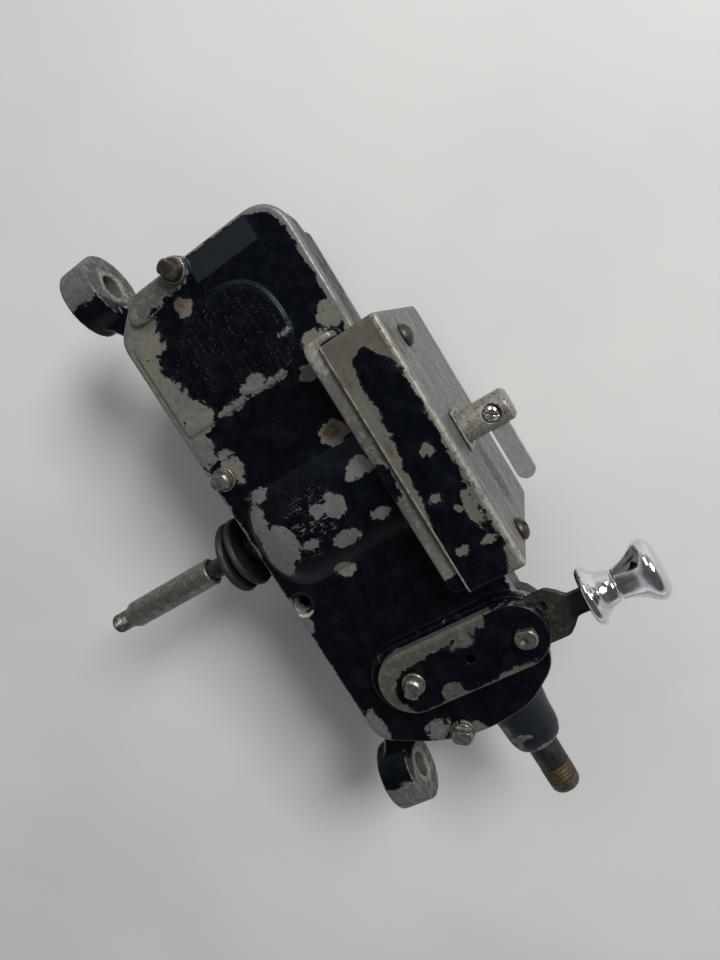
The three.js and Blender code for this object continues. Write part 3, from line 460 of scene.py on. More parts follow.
def chipped_paint(name, bare_light, bare_dark, beige, streaks=None):
    """Black enamel with chips down to metal, which may be streaked.

    It follows numbers kept in the mesh: bare is the depth into bare metal in millimetres, and
    beige, rust, dirt, polished, smooth, print and scrape go from 0 to 1.
    """
    t = Surface(name)
    bare = t.field("bare")
    rough_edge = t.times(t.minus(t.noise(3.0, 5, 0.66, None, 0.35), 0.5), 5.0)
    fine_edge = t.times(t.minus(t.noise(0.7, 3, 0.6), 0.5), 1.3)
    angular = t.times(t.minus(0.42, t.cells(2.4)), 1.2)
    depth = t.plus(t.plus(t.plus(bare, rough_edge), fine_edge), angular)
    chips = t.ramp(depth, -0.06, 0.1)
    stray = t.ramp(t.noise(2.1, 6, 0.72, t.stretched((1.0, 0.7, 1.0))), 0.725, 0.745)
    stray = t.times(stray, t.ramp((16, 2), 0.5, 0.58))
    chips = t.most(chips, stray)

    # enamel: blue-black, dusty, finely speckled
    dust = t.ramp((7, 5, 0.6), 0.42, 0.75)
    paint = t.mix(dust, (0.0007, 0.0012, 0.0029), (0.0030, 0.0038, 0.0058))
    grime = t.ramp((1.3, 6, 0.7), 0.62, 0.78)
    paint = t.mix(t.times(grime, 0.35), paint, (0.022, 0.021, 0.019))
    speck = t.ramp(t.cells(1.15), 0.13, 0.07)
    speck = t.times(speck, t.ramp((5, 3), 0.5, 0.62))
    paint = t.mix(t.times(speck, 0.45), paint, (0.12, 0.12, 0.115))
    paint = t.mix(t.times(t.field("print"), t.worn_print()), paint, (0.027, 0.028, 0.029))
    scrape = t.ramp(t.noise(0.5, 5, 0.7, t.stretched((1.0, 0.22, 1.0)), 0.8), 0.565, 0.60)
    scrape = t.times(scrape, t.ramp((3.0, 4, 0.6), 0.46, 0.56))
    paint = t.mix(t.times(scrape, t.field("scrape")), paint, (0.16, 0.165, 0.16))
    smooth = t.field("smooth")
    paint = t.mix(t.times(smooth, 0.9), paint, (0.0135, 0.0165, 0.0205))

    # bare metal: mottled alloy, stained beige or rusty where the fields say so
    mottle = t.ramp((1.2, 7, 0.62), 0.3, 0.72)
    metal = t.mix(mottle, bare_dark, bare_light)
    pits = t.ramp((0.4, 4, 0.6), 0.66, 0.74)
    metal = t.mix(t.times(pits, 0.4), metal, (0.06, 0.057, 0.048))
    stain = t.broken("beige", (2.4, 5, 0.6), 0.28, 0.6)
    metal = t.mix(stain, metal, beige)
    dirty = t.broken("beige", (1.1, 5, 0.7), 0.52, 0.7)
    metal = t.mix(t.times(dirty, 0.5), metal, (0.075, 0.066, 0.046))
    rust = t.broken("rust", (1.2, 5, 0.65), 0.3, 0.58)
    metal = t.mix(rust, metal, (0.095, 0.052, 0.026))
    deep_rust = t.broken("rust", (0.8, 4, 0.6), 0.55, 0.66)
    metal = t.mix(deep_rust, metal, (0.042, 0.019, 0.010))
    fine_height = t.noise(0.35, 4, 0.6)
    if streaks:
        lines = t.noise(2.3, 6, 0.62, t.stretched(streaks), 0.6)
        clean = t.minus(1.0, t.times(t.field("beige"), 1.2), clamp=True)
        metal = t.mix(t.times(t.ramp(lines, 0.5, 0.62, 0.0, 0.75), clean), metal, (0.05, 0.049, 0.044))
        bright_lines = t.noise(2.1, 5, 0.6, t.stretched(tuple(1.4 * c for c in streaks)), 0.7)
        bright = t.times(t.ramp(bright_lines, 0.5, 0.66, 0.0, 0.7), clean)
        metal = t.mix(bright, metal, (0.36, 0.345, 0.31))
        fine_lines = t.noise(0.4, 4, 0.6, t.stretched(streaks))
        metal = t.mix(t.times(t.ramp(fine_lines, 0.58, 0.64, 0.0, 0.7), clean), metal, (0.032, 0.031, 0.028))
        smudge = t.ramp(t.noise(5.5, 5, 0.62, t.stretched((0.45, 1, 1))), 0.46, 0.7, 0.0, 0.55)
        metal = t.mix(smudge, metal, (0.09, 0.088, 0.08))
        line_height = t.times(t.times(lines, 1.4), clean)
        fine_height = t.plus(line_height, t.times(fine_height, 0.5))

    dirt = t.broken("dirt", (2.6, 6, 0.66), 0.36, 0.56)
    metal = t.mix(t.times(dirt, 0.85), metal, (0.028, 0.027, 0.024))
    # polished metal, which on the cover's empty hole rim is a painted highlight
    polished = t.broken("polished", (1.6, 5, 0.65), 0.34, 0.58)
    metal = t.mix(polished, metal, (0.42, 0.40, 0.34))
    stained = t.most(t.most(stain, rust), dirt)
    metal_rough = t.blend(stained, t.ramp(mottle, 0, 1, 0.52, 0.36), 0.74)
    paint_rough = t.plus(t.ramp((3.5, 5, 0.6), 0.3, 0.75, 0.27, 0.46), t.times(grime, 0.2))
    rim = t.ramp(depth, -0.7, -0.06, 0.0, 1.0)
    paint = t.mix(t.times(rim, 0.35), paint, (0.03, 0.028, 0.024))

    film = t.bump(t.minus(1.0, t.ramp(depth, -0.12, 0.16)), 0.11)
    orange_peel = t.bump(t.noise(2.2, 3, 0.5), 0.05, 0.35, film)
    grain = t.bump(t.blend(chips, t.noise(0.5, 3, 0.5), fine_height), 0.035, 0.5, orange_peel)
    return t.set(
        Base_Color=t.mix(chips, paint, metal),
        Metallic=t.times(chips, t.minus(0.62, t.times(stained, 0.5), clamp=True)),
        Roughness=t.blend(chips, paint_rough, metal_rough),
        Specular_IOR_Level=0.2,
        Specular_Tint=(0.74, 0.86, 1.0),
        Normal=grain,
    )


def worn_metal(name, light, dark, stain, rust_share=0.3, rough=(0.3, 0.55), metallic=0.85, lines=None,
               pitting=0.0):
    """Bare metal with a mottled tone, stains and fine scratches. lines stretches the scratches."""
    t = Surface(name)
    mottle = t.ramp((1.6, 7, 0.66), 0.32, 0.7)
    colour = t.mix(mottle, dark, light)
    rust = t.ramp((2.6, 6, 0.68), 0.64 - 0.28 * rust_share, 0.76 - 0.22 * rust_share)
    colour = t.mix(t.times(rust, 0.85), colour, stain)
    pits = t.ramp((0.32 + 0.6 * pitting, 4, 0.65), 0.64 - 0.07 * pitting, 0.72 - 0.1 * pitting)
    colour = t.mix(t.times(pits, 0.55 + 0.25 * pitting), colour, tuple(0.35 * c for c in stain))
    dirt = t.broken("dirt", (1.8, 5, 0.66), 0.3, 0.55)
    colour = t.mix(t.times(dirt, 0.9), colour, (0.03, 0.022, 0.015))
    scratch = t.noise(0.9, 5, 0.6, t.stretched(lines or (1.0, 1.0, 1.0)))
    height = t.plus(t.times(scratch, 0.8), t.times(t.noise(0.3, 3), 0.4))
    return t.set(
        Base_Color=colour,
        Metallic=t.minus(metallic, t.times(rust, 0.55), clamp=True),
        Roughness=t.plus(t.ramp((2.1, 5, 0.6), 0.3, 0.7, *rough), t.times(rust, 0.22)),
        Normal=t.bump(height, 0.04, 0.5),
    )


def chrome_plate(name):
    """Bright plating with faint haze, pin-holes and wiping marks."""
    t = Surface(name)
    haze = t.ramp((3.0, 5, 0.6), 0.45, 0.8)
    colour = t.mix(haze, (0.70, 0.71, 0.73), (0.52, 0.52, 0.52))
    pin = t.ramp(t.cells(1.6), 0.07, 0.03)
    colour = t.mix(t.times(pin, t.ramp((6, 3), 0.52, 0.6)), colour, (0.10, 0.08, 0.06))
    wipe = t.noise(0.5, 4, 0.6, t.stretched((0.35, 1.3, 0.35)))
    return t.set(
        Base_Color=colour,
        Metallic=1.0,
        Roughness=t.plus(t.ramp(haze, 0, 1, 0.05, 0.17), t.times(wipe, 0.05)),
        Normal=t.bump(t.noise(1.4, 4, 0.5), 0.02, 0.25),
    )


def plain_stuff(name, dark, light, size=1.5, rough=(0.5, 0.75), relief=0.03, metallic=0.0):
    """Rubber, fibre, bakelite and the like: mottled, with dust in its grain."""
    t = Surface(name)
    tone = t.ramp((size, 6, 0.65), 0.35, 0.72)
    colour = t.mix(tone, dark, light)
    dust = t.ramp((size * 0.35, 4, 0.65), 0.62, 0.75)
    dusted = tuple(min(1.0, 1.8 * c + 0.02) for c in light)
    colour = t.mix(t.times(dust, 0.4), colour, dusted)
    return t.set(
        Base_Color=colour,
        Metallic=metallic,
        Roughness=t.ramp((size * 1.4, 4, 0.6), 0.3, 0.7, *rough),
        Normal=t.bump(t.noise(size * 0.25, 4, 0.6), relief, 0.6),
    )


ALLOY = (0.235, 0.24, 0.235)
ALLOY_DARK = (0.15, 0.15, 0.145)
BEIGE = (0.158, 0.149, 0.117)
enamel = chipped_paint("chipped_enamel", ALLOY, ALLOY_DARK, BEIGE)
lid_steel = chipped_paint("worn_lid_steel", (0.232, 0.226, 0.206), (0.14, 0.136, 0.123),
                          (0.105, 0.097, 0.073), streaks=(0.07, 1.0, 1.1))
bare_steel = worn_metal("bare_steel", (0.34, 0.32, 0.28), (0.17, 0.16, 0.14), (0.09, 0.06, 0.035), 0.25)
bolt_steel = worn_metal("bolt_steel", (0.34, 0.32, 0.285), (0.14, 0.128, 0.108), (0.06, 0.042, 0.027),
                        0.45, (0.22, 0.42))
brown_steel = worn_metal("brown_steel", (0.076, 0.062, 0.051), (0.032, 0.026, 0.021), (0.026, 0.018, 0.013),
                         0.5, (0.3, 0.52), 0.7)
shaft_steel = worn_metal("shaft_steel", (0.31, 0.295, 0.26), (0.19, 0.178, 0.15), (0.075, 0.048, 0.025),
                         0.26, (0.36, 0.58), 0.5, pitting=1.0)
sleeve_steel = worn_metal("sleeve_steel", (0.30, 0.29, 0.27), (0.17, 0.162, 0.148), (0.085, 0.062, 0.04),
                          0.42, (0.34, 0.52), 0.75, (1.0, 0.2, 1.0))
oily_steel = worn_metal("oily_steel", (0.042, 0.039, 0.032), (0.014, 0.013, 0.011), (0.03, 0.02, 0.012),
                        0.4, (0.42, 0.64), 0.5)
plated = chrome_plate("plated")
lever_plate = worn_metal("lever_plate", (0.50, 0.515, 0.50), (0.44, 0.455, 0.44), (0.24, 0.23, 0.21), 0.1,
                         (0.24, 0.38), 0.7, (0.25, 1.0, 1.0))
rubber = plain_stuff("black_rubber", (0.0025, 0.0025, 0.0028), (0.007, 0.007, 0.0072), 2.2,
                     (0.55, 0.78), 0.09)
brass = worn_metal("tarnished_brass", (0.34, 0.17, 0.045), (0.19, 0.085, 0.022), (0.05, 0.028, 0.014), 0.45,
                   (0.35, 0.6), 0.75, (3.0, 1.0, 1.0))
bronze = worn_metal("oiled_bronze", (0.36, 0.24, 0.12), (0.2, 0.125, 0.06), (0.05, 0.034, 0.02), 0.3)
copper = worn_metal("wound_copper", (0.40, 0.16, 0.07), (0.24, 0.09, 0.04), (0.09, 0.035, 0.02), 0.3,
                    (0.3, 0.5), 0.8, (4.0, 0.6, 0.6))
bakelite = plain_stuff("brown_bakelite", (0.028, 0.014, 0.008), (0.06, 0.03, 0.017), 2.0, (0.32, 0.55), 0.02)
iron = worn_metal("laminated_iron", (0.12, 0.12, 0.125), (0.06, 0.06, 0.062), (0.06, 0.03, 0.016), 0.35,
                  (0.4, 0.6), 0.8, (6.0, 0.5, 0.5))
carbon = plain_stuff("brush_carbon", (0.01, 0.01, 0.011), (0.028, 0.028, 0.03), 0.9, (0.4, 0.6), 0.02, 0.2)
paper = plain_stuff("gasket_paper", (0.022, 0.017, 0.011), (0.055, 0.043, 0.028), 1.4, (0.75, 0.92), 0.04)
spring_steel = worn_metal("spring_steel", (0.4, 0.4, 0.39), (0.24, 0.24, 0.23), (0.1, 0.07, 0.04), 0.2)
fibre = plain_stuff("gear_fibre", (0.1, 0.05, 0.022), (0.19, 0.105, 0.05), 1.1, (0.45, 0.66), 0.05)
ring_brown = worn_metal("ring_brown", (0.085, 0.056, 0.022), (0.045, 0.029, 0.013), (0.028, 0.018, 0.011),
                        0.4, (0.42, 0.6), 0.5, (3.0, 1.0, 1.0))
end_brown = plain_stuff("end_brown", (0.022, 0.015, 0.010), (0.062, 0.044, 0.03), 1.3, (0.36, 0.56), 0.03)
tube_black = plain_stuff("worn_black_tube", (0.005, 0.005, 0.0055), (0.022, 0.019, 0.015), 1.8,
                         (0.35, 0.6), 0.05, 0.25)
slide_enamel = chipped_paint("slide_cover_enamel", (0.165, 0.165, 0.15), (0.095, 0.095, 0.083),
                             (0.105, 0.102, 0.082))
grimy_bronze = worn_metal("grimy_bronze", (0.05, 0.038, 0.022), (0.018, 0.014, 0.009),
                          (0.02, 0.014, 0.009), 0.5)

# Pieces that keep their CAD shape take a finish by their record slot.
slot_finish = {
    "case_enamel": enamel, "box_steel": lid_steel, "fastener_steel": bare_steel, "rusty_steel": brown_steel,
    "chrome": plated, "rubber": rubber, "bronze": bronze, "brass": brass, "copper": copper,
    "bakelite": bakelite, "dark_tube": tube_black, "soft_iron": iron, "carbon": carbon,
    "gasket_paper": paper, "spring_steel": spring_steel, "fibre": fibre,
}
for part in frame["record"]["subparts"]:
    mesh = nodes[part["node"]].data
    mesh.materials.clear()
    mesh.materials.append(slot_finish[part["material_slot"]])
# the spindle's neck and the bush's outer end are black with old grease
nodes["spindle_bush_front"].data.materials[0] = grimy_bronze
nodes["spindle"].data.materials[0] = oily_steel


# ---- dimensions shared by several pieces

CASE_LEFT, CASE_RIGHT, CASE_FRONT, CASE_BACK = -88.2, 86.9, -33.3, 33.0
COVER_LOW, COVER_TOP = 66.2, 70.0
SPINDLE_Z = 50.0
LUG_X = 100.0
LID_FRONT, LID_BACK, LID_TOP, SHEET = 24.0, 42.5, 82.0, 1.2
SWITCH_X, SWITCH_Z, LEVER_Y = -1.5, 60.0, 53.3
LID_SCREWS = ((-34.2, 61.5), (34.2, 61.5))
BOLTS = {"left": (-86.0, -3.9, 1.4), "front": (-26.2, -28.0, 0.0), "right": (82.8, -5.0, 0.0)}
EMPTY_HOLE = (21.5, -29.6)
LABEL = (-58.7, 1.2)
SLIDE_FRONT = (58.1, -7.5)
SLIDE_REAR = (59.3, 30.6)
KNOB_X, KNOB_Z = 58.5, 72.0
GLAND_Y, GLAND_Z, GLAND_END = 9.0, 50.0, 108.0
CABLE_BORE = 3.6
LID_PLAY = 0.35


def case_outline():
    return outline([
        (CASE_LEFT, CASE_BACK, 11.5), (CASE_LEFT, -22, 4), (-78.5, CASE_FRONT, 4), (75.5, CASE_FRONT, 6),
        (CASE_RIGHT - 2.4, -14, 8), (CASE_RIGHT, 3, 9), (CASE_RIGHT - 2.9, 19, 5), (74, CASE_BACK, 7),
    ], 12)


def lid_outline(inset):
    return outline([
        (-43.4 + inset, 7 + inset, 4 - inset), (38.6 - inset, 7 + inset, 4 - inset),
        (38.6 - inset, LID_TOP - inset, 1.6 - inset / 2), (-43.4 + inset, LID_TOP - inset, 1.6 - inset / 2),
    ], 10)


def lid_channel():
    """The room around the lid's walls."""
    room = slab("room", lid_outline(-LID_PLAY), "y", LID_FRONT - LID_PLAY, LID_BACK + 5)
    return cut(room, slab("core", lid_outline(SHEET + LID_PLAY), "y", 0, LID_BACK + 9))


# ---- side cover

def build_cover():
    cover = slab("side_cover_casting", case_outline(), "z", COVER_LOW, COVER_TOP, 1.1)
    pad = outline([(-74.8, -30.5, 3), (-42.6, -30.5, 1), (-42.6, 17.3, 16), (-74.8, 17.3, 16)], 16)
    rib = outline([
        (-87, -23, 1), (-80.2, -26.4, 2.5), (-78.6, -21.5, 2.5), (-81.2, -2, 2), (-87.6, -2, 0.5),
    ])
    plinth = outline([(-46, 18.8, 3), (37.6, 18.8, 3), (37.6, 28.5, 1), (-46, 28.5, 1)])
    bulge_profile = soft_profile([
        (0, -31.2), (20, -31.2), (22.5, -29.6), (24.6, -27), (26, -23.5), (26.5, -20), (26.5, 22), (0, 22),
    ], 1.2)
    bulge = lathe("bulge", bulge_profile, "y", (0, SPINDLE_Z), 160)
    limit = block("limit", -30, 30, -34, 24, COVER_LOW, 80)
    combine(bulge, [limit], "INTERSECT")
    add(
        cover, bulge,
        slab("pad", pad, "z", COVER_TOP - 1, COVER_TOP + 0.8, 0.35),
        slab("rib", rib, "z", COVER_TOP - 1, COVER_TOP + 1.4, 0.7),
        slab("plinth", plinth, "z", COVER_LOW, 80.4, 1.1),
        block("plinth_inside", -41.5, 36.7, 20.8, 33, COVER_LOW, 80.4),
        slab("slide_base", obround(58.3, -10.3, 26, 12.4), "z", COVER_TOP - 1, 73.4, 0.8),
        slab("slide_root", obround(58.3, -10.3, 26, 11.4), "z", COVER_LOW, COVER_TOP - 0.5),
        *[slab("lobe", ring(4.2, (x, y)), "z", COVER_LOW, COVER_TOP + seat, 0.5)
          for x, y, seat in BOLTS.values()],
    )
    # a raised border on the label pad, with nothing inside it
    border = bar(15.2, LABEL, "z", COVER_TOP + 0.5, COVER_TOP + 1.0, 96)
    cut(border, bar(14.7, LABEL, "z", COVER_TOP, COVER_TOP + 2, 96))
    add(cover, border)

    hollow = soft_profile([(0, -27.2), (19, -27.2), (21.6, -25), (23, -21.5), (23, 16), (0, 16)], 0.8)
    holes = [bar(2.8, spot[:2], "z", COVER_LOW - 1, 74) for spot in (*BOLTS.values(), EMPTY_HOLE)]
    holes += [bar(2.3, spot, "z", COVER_LOW - 1, 74) for spot in (SLIDE_FRONT, SLIDE_REAR)]
    cut(
        cover,
        lathe("hollow", hollow, "y", (0, SPINDLE_Z), 96),
        block("plinth_hollow", -38, 33, 22.4, 30, COVER_LOW - 1, 77),
        block("slide_track", 50, 67, -16, 45, 70.6, 75),
        bar(4.1, EMPTY_HOLE, "z", COVER_TOP - 0.8, 74),
        lid_channel(),
        *holes,
    )
    soften(cover, 0.38, 3)

    points, normals, edges = mesh_arrays(cover)
    x, y, z = points.T
    edge = edge_field(points, normals, edges)
    # depths into bare metal, in millimetres
    side_wall = np.where((np.abs(normals[:, 2]) < 0.6) & (z < 69.8), 2.5, PAINTED)
    # the rim is worn in a thin line, wider round the corner with the label
    rim_width = np.interp(x, [-88, -78, -40, 10, 60, 87], [1.1, 1.6, 1.7, 0.9, 0.5, 0.4])
    rim_width = rim_width + 1.7 * np.clip((-12 - y) / 8, 0, 1) * (x < -36) + 0.5 * (y > 22) * (x < -30)
    inner = np.minimum.reduce([x - CASE_LEFT, CASE_RIGHT - x, y - CASE_FRONT, CASE_BACK - y])
    corner = 11.5 - np.hypot(np.minimum(x + 76.7, 0), np.maximum(y - 21.5, 0))
    inner = np.where((x < -76.7) & (y > 21.5), np.minimum(inner, corner), inner)
    chamfer = (x - CASE_LEFT) * 0.74 + (y + 22) * 0.66
    inner = np.where((x < -76) & (y < -20), np.minimum(inner, np.maximum(chamfer, 0)), inner)
    rim = np.where(z < 70.6, (rim_width - inner) * 1.4, PAINTED)
    edges_bare = np.clip(edge, 0, 1.5) * 5.2 - 4.6
    pad_edge = np.where((z > 70.2) & (x < -40) & (x > -80), edges_bare + 1.2, edges_bare)
    patches = patch_field(points, [
        *spots(71, 3, (-84, -14, 3.6, 13)),
        *spots(70.5, 3, (-81, -25, 9, 7), (-72.5, -27, 4.5, 8), (-65, -29.8, 9, 4.4), (-54, -28, 9.5, 5.6),
               (-46.5, -24.5, 5.5, 6), (-76.5, -8.5, 3.2, 3.4), (-47.5, 20.5, 2.8, 4.5)),
        *spots(70.8, 3, (-45.6, -2.5, 3, 4.4), (-43.6, 3.5, 1.4, 4.2), (-43.4, -12, 1.8, 5.4),
               (-53.4, 14.6, 1.1, 2.3)),
        *spots(70, 3, (-40, -29.5, 8, 4.6), (-50.5, 29.5, 4.2, 5), (-40, 14.2, 2.6, 4),
               (17.2, -9.5, 3.2, 3.6)),
        *spots(70, 2, (-28, -23.6, 5.5, 3.4), (27, -32, 4.5, 2.4), (80.5, -12, 4.5, 5),
               (84.5, -2.4, 3.2, 5.5), (72, -31, 8, 3.2)),
        # on and beside the dome
        *spots(70, 4, (-21, 11, 3.8, 4.8)),
        *spots(72, 4, (-16.4, -22, 2.4, 4.5)),
        *spots(75, 6, (-8.5, -24.6, 8.5, 3.6), (4.5, -25.5, 7.5, 4.2)),
        *spots(75.5, 4, (8.4, -1.2, 3, 4.8)),
        *spots(76, 4, (6.8, 11.8, 2.2, 3.2), (4.6, -11.5, 1.6, 3.6)),
        *spots(76, 5, (-9, 13.8, 3.6, 4.6)),
        *spots(76, 6, (0.5, -20.5, 6.5, 5.5)),
        *spots(76.5, 4, (-7.6, 10.6, 1.8, 3), (-2.6, 1, 4.2, 3.8), (-3.2, -4.6, 2.2, 3.6)),
    ])
    # the plinth's strip beside the lid is worn bare nearly everywhere
    strip = np.interp(x, [-46, -16, -9, -3, 2, 7, 31, 33.5, 38],
                      [2.6, 2.4, 0.6, -1.9, -1.7, 1.8, 2.4, -2, -5])
    # the painted stretch leaves a thin bare line next to the lid
    strip = np.where(np.abs(x + 1) < 10, np.maximum(strip, (y - 22.2) * 1.6), strip)
    strip = np.where((z > 74) & (y > 18), strip, PAINTED)
    strip = np.where((z > 79.6) & (y > 18), strip, strip - 3.6 + 1.6 * (x < -20))
    slide_rim = np.where((x > 44) & (z > 70.6), np.where(x < 60, -0.7, -1.9) - 1.6 * (y > 20), PAINTED)
    # a painted highlight: the empty hole's wall catches the light on one side, drawn as a bright bare
    # crescent on the rim
    from_hole = np.hypot(x - EMPTY_HOLE[0], y - EMPTY_HOLE[1])
    lit_side = ((x - EMPTY_HOLE[0]) * 0.87 - (y - EMPTY_HOLE[1]) * 0.49) / np.maximum(from_hole, 0.1)
    lit_hole_rim = (from_hole > 3.7) & (from_hole < 4.6) & (z > 69.2) & (lit_side > 0.45)
    bare = into_bare(side_wall, rim, pad_edge, patches, strip, slide_rim, np.where(lit_hole_rim, 2.5, PAINTED))
    # the number pad stays painted
    number_pad = (x > -87.0) & (x < -79.4) & (y > -0.5) & (y < 22.5) & (z > 69.5)
    bare = np.where(number_pad & (inner > 1.3), -6.0, bare)
    beige = patch_field(points, [
        *spots(70.5, 4, (-72.5, -27, 7, 10), (-60, -29.5, 14, 7), (-46, -24, 8, 9), (-47.5, 20, 5, 8)),
        *spots(70, 4, (-40, 14.2, 4, 6), (-49.5, 29.5, 6, 6), (-21, 11, 6, 7), (17.2, -9.5, 5, 5),
               (-28, -24.5, 7, 6)),
        *spots(71, 4, (-83, -14, 7, 15)), *spots(73, 5, (58, 8, 14, 34)), *spots(79, 12, (-4, 22, 48, 5)),
    ])
    rust = patch_field(points, [
        *spots(70.5, 3, (-77.5, -12, 3.2, 7)), *spots(70, 3, (-21.5, 10.4, 2.6, 3.4)),
        *spots(80, 3, (-44.5, 24, 2, 2)),
    ])
    label = (x > -73) & (x < -44.5) & (y > -28) & (y < 15.5) & (z > 70.4)
    middle = patch_field(points, [*spots(76.5, 8, (-3, -7, 9, 11)), *spots(75, 6, (6, -14, 5, 8))])
    shiny = np.where((y > 18) & (z > 79.8) & (z < 80.45) & (x < -36), 0.5, 0.0)
    grubby = patch_field(points, [
        *spots(71, 4, (-82, -16, 8, 12)), *spots(70, 4, (84, -4, 8, 8)), *spots(79, 8, (-4, 21, 46, 4)),
    ])
    # the polish field here is a painted highlight on the empty hole's rim, and real polish on the plinth's
    # worn edge
    store(
        cover, bare=bare, beige=np.clip(0.25 + beige / 2.5, 0.2, 1),
        rust=np.clip(0.12 + rust / 1.2, 0.05, 1), smooth=number_pad, print=label,
        scrape=np.clip(middle / 3, 0, 1),
        polished=np.where(lit_hole_rim, 0.9, shiny), dirt=np.clip(grubby / 3, 0.12, 0.7),
    )
    finish_piece(cover, "case", enamel, "side_cover")


# ---- housing with lugs and cable bell

def build_housing():
    housing = solid_copy("main_housing_casting", "main_housing")
    bell = soft_profile([
        (0, 84), (11.5, 84), (11.5, 86), (10.4, 91), (9.6, 97), (9.3, 103.5), (8.3, 106.6),
        (6.3, GLAND_END), (0, GLAND_END),
    ], 1.5)
    lugs = [slab("lug", ring(12.2, (side * LUG_X, SPINDLE_Z), 96), "y", -46.5, -34.5, 0.6, True)
            for side in (-1, 1)]
    add(housing, lathe("bell", bell, "x", (GLAND_Y, GLAND_Z), 128), *lugs)
    cut(
        housing,
        bar(CABLE_BORE, (GLAND_Y, GLAND_Z), "x", 80, 112),
        *[bar(4.25, (side * LUG_X, SPINDLE_Z), "y", -50, -26.5) for side in (-1, 1)],
    )
    soften(housing, 0.55, 4)
    points, normals, edges = mesh_arrays(housing)
    x, y, z = points.T
    edge = edge_field(points, normals, edges)
    edges_bare = np.clip(edge, 0, 1.5) * 4.5 - 4.4
    # the lugs are bare, and black where the web runs into them
    on_lug = (np.abs(x) > 86) & (y < -33.5)
    lug = np.where(on_lug, np.clip((np.abs(x) - 93.5 - 0.35 * (z - 50)) * 0.9, -4, 3.5), PAINTED)
    flange = (z > 57.5) & (np.abs(normals[:, 2]) < 0.5) & (y < 30) & (y > -33) & (x < 60)
    patches = patch_field(points, [
        # on the cable bell
        ((106.6, 12, 56.5), (1.6, 4.5, 3.4)), ((106.8, 5.5, 57), (1.3, 3.2, 3)),
        ((96.5, 3.2, 57), (2.6, 1.7, 2.4)), ((100, 7.4, 59.2), (1.5, 2.2, 2)),
        ((100.6, 3.4, 57), (1.5, 1.5, 2)), ((103.2, 4.6, 57.6), (1.8, 1.4, 2)),
        # on the walls: x, z, half width and half height on the front and on the back
        *[((a, -33, b), (across, 2, up)) for a, b, across, up in (
            (-80, 46, 5, 4), (-66, 33, 7, 3), (-72, 14, 4, 6), (14, 38, 4, 3), (26, 27, 8, 3.4),
            (43, 44, 5, 2.4), (66, 12, 9, 3), (-25, 9, 6, 3))],
        *[((a, 24, b), (across, 2, up)) for a, b, across, up in (
            (62, 38, 6, 3), (74, 20, 3, 6), (54, 12, 5, 3), (-60, 38, 5, 3), (-72, 22, 4, 5),
            (-54, 10, 8, 3))],
        ((-89, 10, 34), (2, 5, 3)), ((-89, -8, 18), (2, 3, 6)), ((86, -20, 40), (2, 4, 3)),
        ((86, -4, 16), (2, 6, 3)), ((80, 26, 63), (5, 5, 4)),
        *spots(0, 2, (0, 0, 30, 9), (-50, 4, 16, 5), (55, -6, 18, 6)),
    ])
    from_bore = np.hypot(np.abs(x) - LUG_X, z - SPINDLE_Z)
    back_face = normals[:, 1] > 0.7
    store(
        housing, bare=into_bare(edges_bare, lug, np.where(flange, -0.6, PAINTED), patches),
        beige=np.where(np.abs(x) > 88, 0.22, 0.45), rust=0.12,
        smooth=np.where((x > 88.5) & (y > -30), 0.75, 0.0),
        polished=np.where(on_lug & (from_bore < 6.4) & (from_bore > 4.4), 0.45, 0.0),
        dirt=np.where(on_lug, np.where(back_face, 0.85, 0.6), 0.15),
    )
    finish_piece(housing, "case", enamel, "main_housing")


# ---- switch box

